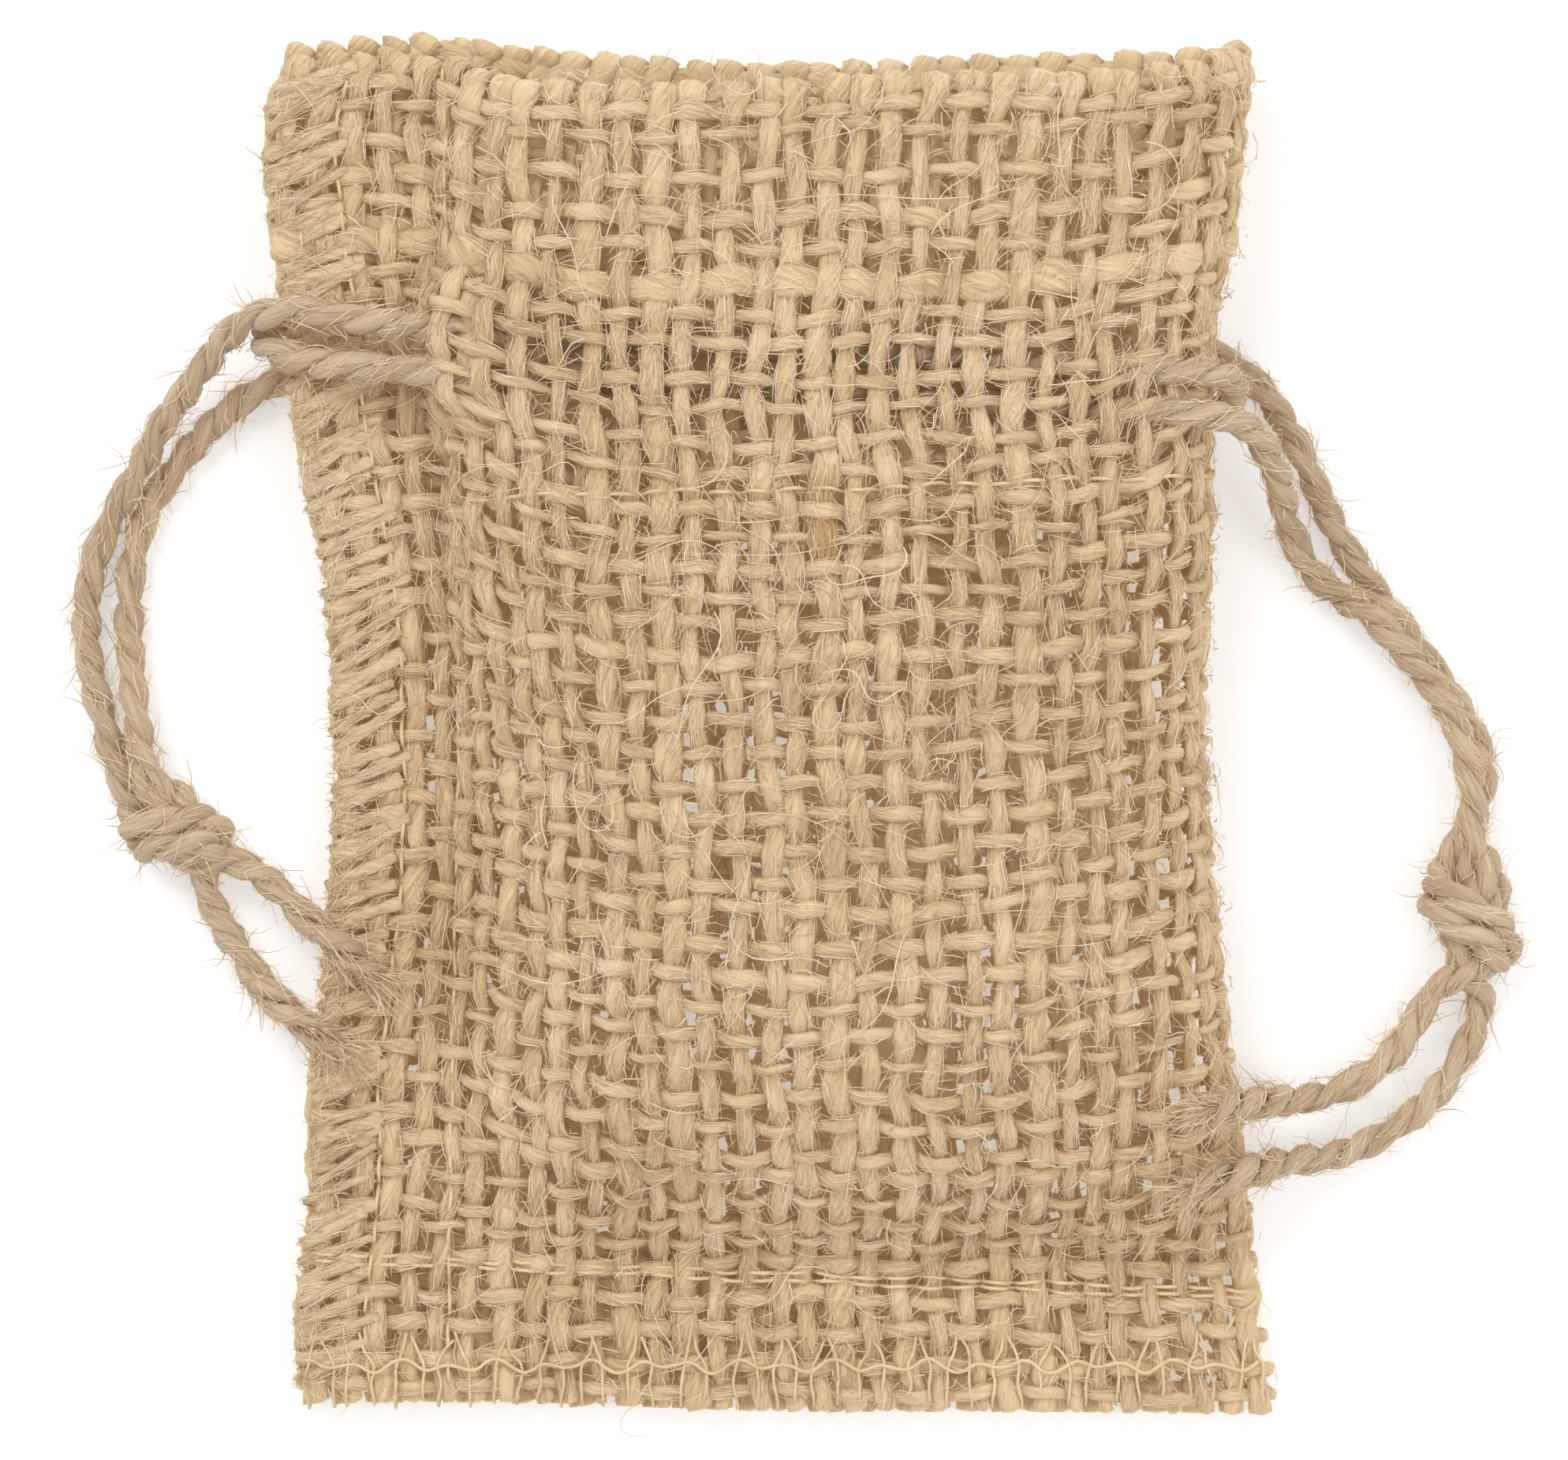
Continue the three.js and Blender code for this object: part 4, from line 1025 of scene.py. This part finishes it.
for side_name, first_seed in (("left", 40), ("right", 50)):
    made = []
    for k, which in enumerate(("_front_twine", "_back_twine")):
        name = side_name + which
        made += twine_fibres(strands_of_twine[name], INSIDE, 640, first_seed + 70 + k)
        made += yarn_fibres(plies_of_twine[name], 620, 1.0, first_seed + 60 + k, skip=INSIDE, all_round=True)
    mesh_of_strands(side_name + "_twine_fibres", made, 3)
made = []
for k, name in enumerate(("left_round_twine", "right_round_twine")):
    made += twine_fibres(strands_of_twine[name], LOOP_INSIDE, 170, 130 + k, tuft=0)
    made += yarn_fibres(plies_of_twine[name], 300, 0.055, 134 + k, skip=LOOP_INSIDE, all_round=True)
mesh_of_strands("loop_fibres", made, 3)

# %% [markdown]
# ## Jute, twine and thread
# Jute is a matt plant fibre, pale golden brown, with grey and orange streaks from the plant. A
# yarn shows fine lines that run round it at a slant, because the fibres are twisted. That
# pattern follows the strand, so it reads the strand's own map and not the object's place. Each
# yarn also has its own tint, and slow patches run over the whole pouch.

# %% Fibre material
def set_inputs(node, values):
    for socket, value in values.items():
        node.inputs[socket].default_value = value


def fibre_material(name, dark, middle, light, turns_per_cm, lines=1.0, depth=0.00022, tint_share=0.07,
                   scatter=0.0, glow=0.0):
    mat = bpy.data.materials.new(name)
    mat.use_nodes = True
    nodes, link = mat.node_tree.nodes, mat.node_tree.links.new
    shader = nodes["Principled BSDF"]
    # the emission stands for light that comes through the jute from the far side
    set_inputs(shader, {
        "Roughness": 0.9, "Specular IOR Level": 0.15, "Sheen Weight": 0.10, "Sheen Roughness": 0.5,
        "Subsurface Weight": scatter, "Subsurface Radius": (1.0, 0.70, 0.40), "Subsurface Scale": 0.0009,
        "Emission Color": (1.0, 0.66, 0.30, 1), "Emission Strength": glow})

    def join(socket, value):
        if isinstance(value, (int, float)):
            socket.default_value = value
        else:
            link(value, socket)

    def math_node(kind, a, b):
        n = nodes.new("ShaderNodeMath")
        n.operation = kind
        join(n.inputs[0], a)
        join(n.inputs[1], b)
        return n.outputs[0]

    def plus(a, b):
        return math_node("ADD", a, b)

    def times(a, b):
        return math_node("MULTIPLY", a, b)

    def noise(place, scale, detail, roughness):
        n = nodes.new("ShaderNodeTexNoise")
        set_inputs(n, {"Scale": scale, "Detail": detail, "Roughness": roughness})
        link(place, n.inputs["Vector"])
        return n.outputs["Fac"]

    def strand_noise(round_it, along_it):
        place = nodes.new("ShaderNodeCombineXYZ")
        for socket, value in zip(place.inputs, (times(twist, round_it * lines), times(along, along_it), other)):
            join(socket, value)
        return noise(place.outputs[0], 1.0, 2.0, 0.62)

    strand_map = nodes.new("ShaderNodeUVMap")
    strand_map.uv_map = "along"
    apart = nodes.new("ShaderNodeSeparateXYZ")
    link(strand_map.outputs["UV"], apart.inputs[0])
    along, around = apart.outputs["X"], apart.outputs["Y"]
    twist = plus(around, times(along, turns_per_cm))
    attribute = nodes.new("ShaderNodeAttribute")
    attribute.attribute_name = "tint"
    tint = attribute.outputs["Fac"]
    other = times(tint, 7.0)
    fine, broad = strand_noise(26.0, 3.0), strand_noise(7.0, 1.6)

    coords = nodes.new("ShaderNodeTexCoord")
    flecks, patches = (noise(coords.outputs["Object"], scale, 3.0, 0.5) for scale in (110.0, 26.0))
    tone = plus(times(fine, 1.10), times(broad, 0.55))
    for part in (times(flecks, 0.40), times(tint, tint_share), times(math_node("SUBTRACT", patches, 0.5), 0.30)):
        tone = plus(tone, part)
    ramp = nodes.new("ShaderNodeValToRGB")
    stops = ramp.color_ramp.elements
    stops[0].position, stops[0].color = 0.42, (*dark, 1)
    stops[1].position, stops[1].color = 1.0, (*light, 1)
    between = stops.new(0.70)
    between.color = (*middle, 1)
    link(times(tone, 0.67), ramp.inputs["Fac"])

    golden = nodes.new("ShaderNodeMapRange")
    set_inputs(golden, {"From Min": 0.62, "From Max": 0.78})
    link(broad, golden.inputs["Value"])
    warm = nodes.new("ShaderNodeMix")
    warm.data_type = "RGBA"
    warm.blend_type = "MULTIPLY"
    warm.inputs[7].default_value = (1.0, 0.80, 0.55, 1)
    link(times(golden.outputs["Result"], 0.55), warm.inputs["Factor"])
    link(ramp.outputs["Color"], warm.inputs[6])
    link(warm.outputs[2], shader.inputs["Base Color"])

    bump = nodes.new("ShaderNodeBump")
    set_inputs(bump, {"Strength": 1.0, "Distance": depth})
    link(plus(times(fine, 0.6), times(broad, 0.8)), bump.inputs["Height"])
    link(bump.outputs["Normal"], shader.inputs["Normal"])
    return mat

print("a recipe for fibres, by colours, turns of twist per centimetre and depth of the lines")

# %% [markdown]
# All the finishes come from that one recipe. Yarn and twine twist opposite ways, thread has finer
# lines, and stray fibres are the palest because light comes through them.

# %% Finishes of the pieces
HAIR = dict(lines=0.2, depth=0.00001, tint_share=0.4, glow=0.05)
materials = {name: fibre_material(name, *colours_and_turns, **more) for name, *colours_and_turns, more in (
    ("jute_yarn", (0.41, 0.280, 0.150), (0.69, 0.530, 0.335), (0.81, 0.695, 0.500), 0.8,
     dict(scatter=0.4, glow=0.055)),
    ("jute_twine", (0.31, 0.225, 0.14), (0.55, 0.425, 0.29), (0.74, 0.615, 0.455), -1.3, dict(scatter=0.3)),
    ("sewing_thread", (0.50, 0.38, 0.22), (0.76, 0.61, 0.38), (0.88, 0.76, 0.52), 3.0,
     dict(lines=0.5, depth=0.00006, glow=0.05)),
    ("overlock_thread", (0.46, 0.33, 0.19), (0.70, 0.545, 0.350), (0.82, 0.70, 0.50), 1.6, dict(glow=0.06)),
    ("stray_fibre", (0.52, 0.38, 0.22), (0.80, 0.64, 0.43), (0.93, 0.83, 0.65), 0.5, HAIR),
    ("rusty_fibre", (0.48, 0.29, 0.13), (0.70, 0.47, 0.24), (0.82, 0.64, 0.40), 0.5, HAIR),
)}
# the first part of a name that fits gives the piece its material; the table also lists a slot
FINISHES = (("twine_fibres", "stray_fibre", "jute_twine"), ("loop_fibres", "stray_fibre", "jute_twine"),
            ("rusty", "rusty_fibre", "jute_cloth"), ("fibres", "stray_fibre", "jute_cloth"),
            ("twine", "jute_twine", "jute_twine"), ("overlock_needle_line", "sewing_thread", "sewing_thread"),
            ("side_overlock", "overlock_thread", "sewing_thread"), ("overlock", "sewing_thread", "sewing_thread"),
            ("stitches", "sewing_thread", "sewing_thread"), ("yarns", "jute_yarn", "jute_cloth"))
for name, obj in pieces.items():
    _, material, slot = next(f for f in FINISHES if f[0] in name)
    obj.data.materials.append(materials[material])
print(len(pieces), "pieces finished with", len(materials), "materials")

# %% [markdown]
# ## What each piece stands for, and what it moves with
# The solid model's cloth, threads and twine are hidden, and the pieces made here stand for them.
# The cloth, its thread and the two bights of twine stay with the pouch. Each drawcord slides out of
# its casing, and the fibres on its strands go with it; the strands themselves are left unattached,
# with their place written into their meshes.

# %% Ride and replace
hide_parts("pouch_cloth", "left_seam_allowance")
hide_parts("bottom_seam_allowance")
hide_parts("hem_facing")
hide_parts("front_hem_thread", "back_hem_thread")
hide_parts("left_seam_thread")
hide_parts("left_overlock_thread")
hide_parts("bottom_seam_thread")
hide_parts("bottom_overlock_thread")
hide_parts("left_cord_front_leg", "left_cord_tail_upper", "left_knot")
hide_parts("left_cord_back_leg", "left_cord_tail_lower")
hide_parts("right_cord_front_leg", "right_cord_tail_inner", "right_knot")
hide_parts("right_cord_back_leg", "right_cord_tail_outer")
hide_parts("right_cord_bight")
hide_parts("left_cord_bight")

EXITS = {"left_front_twine": run(-0.026, 0.0305, FRONT_Z), "left_back_twine": run(-0.026, 0.0272, BACK_Z),
         "right_front_twine": run(0.029, 0.0273, FRONT_Z), "right_back_twine": run(0.029, 0.0328, BACK_Z)}
for name, way_out in EXITS.items():
    side_name = name.split("_")[0]
    line = strands_of_twine[name]
    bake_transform(pieces[name])
for name in ("left_round_twine", "right_round_twine"):
    line = strands_of_twine[name]
for name, obj in pieces.items():
    if name not in EXITS:
        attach(obj, name.split("_")[0] + "_drawcord" if "twine_fibres" in name else "pouch")
print("declared:", len(EXITS) + 2, "lengths of twine and 2 panels")

# %% [markdown]
# ## Floor and light
# A pouch for a shop page lies on white. The floor is a wide plain sheet, and the light is a
# bright even room with one soft lamp from the top left, which is enough to round the yarns.

# %% Floor and light
bpy.ops.object.select_all(action="DESELECT")
bpy.ops.mesh.primitive_plane_add(size=3.0, location=(0, 0, -0.0001))
floor = bpy.context.object
floor.name = "floor"
paint = bpy.data.materials.new("floor_white")
paint.use_nodes = True
set_inputs(paint.node_tree.nodes["Principled BSDF"], {
    "Base Color": (0.75, 0.75, 0.75, 1), "Roughness": 0.9, "Emission Color": (1, 1, 1, 1), "Emission Strength": 0.36})
floor.data.materials.append(paint)


def lamp(name, place, size, power):
    """A soft round lamp that looks at the pouch."""
    bpy.ops.object.light_add(type="AREA", location=place)
    obj = bpy.context.object
    obj.name = name
    obj.data.shape = "DISK"
    obj.data.size = size
    obj.data.energy = power
    obj.rotation_euler = (-Vector(place)).to_track_quat("-Z", "Y").to_euler()


lamp("key", (-0.30, 0.42, 0.60), 0.40, 2.2)
lamp("fill", (0.45, -0.10, 0.60), 0.50, 1.3)
world = bpy.data.worlds.new("room")
bpy.context.scene.world = world
world.use_nodes = True
set_inputs(world.node_tree.nodes["Background"], {"Color": (1, 1, 1, 1), "Strength": 0.71})
bpy.context.scene.view_settings.view_transform = "Standard"
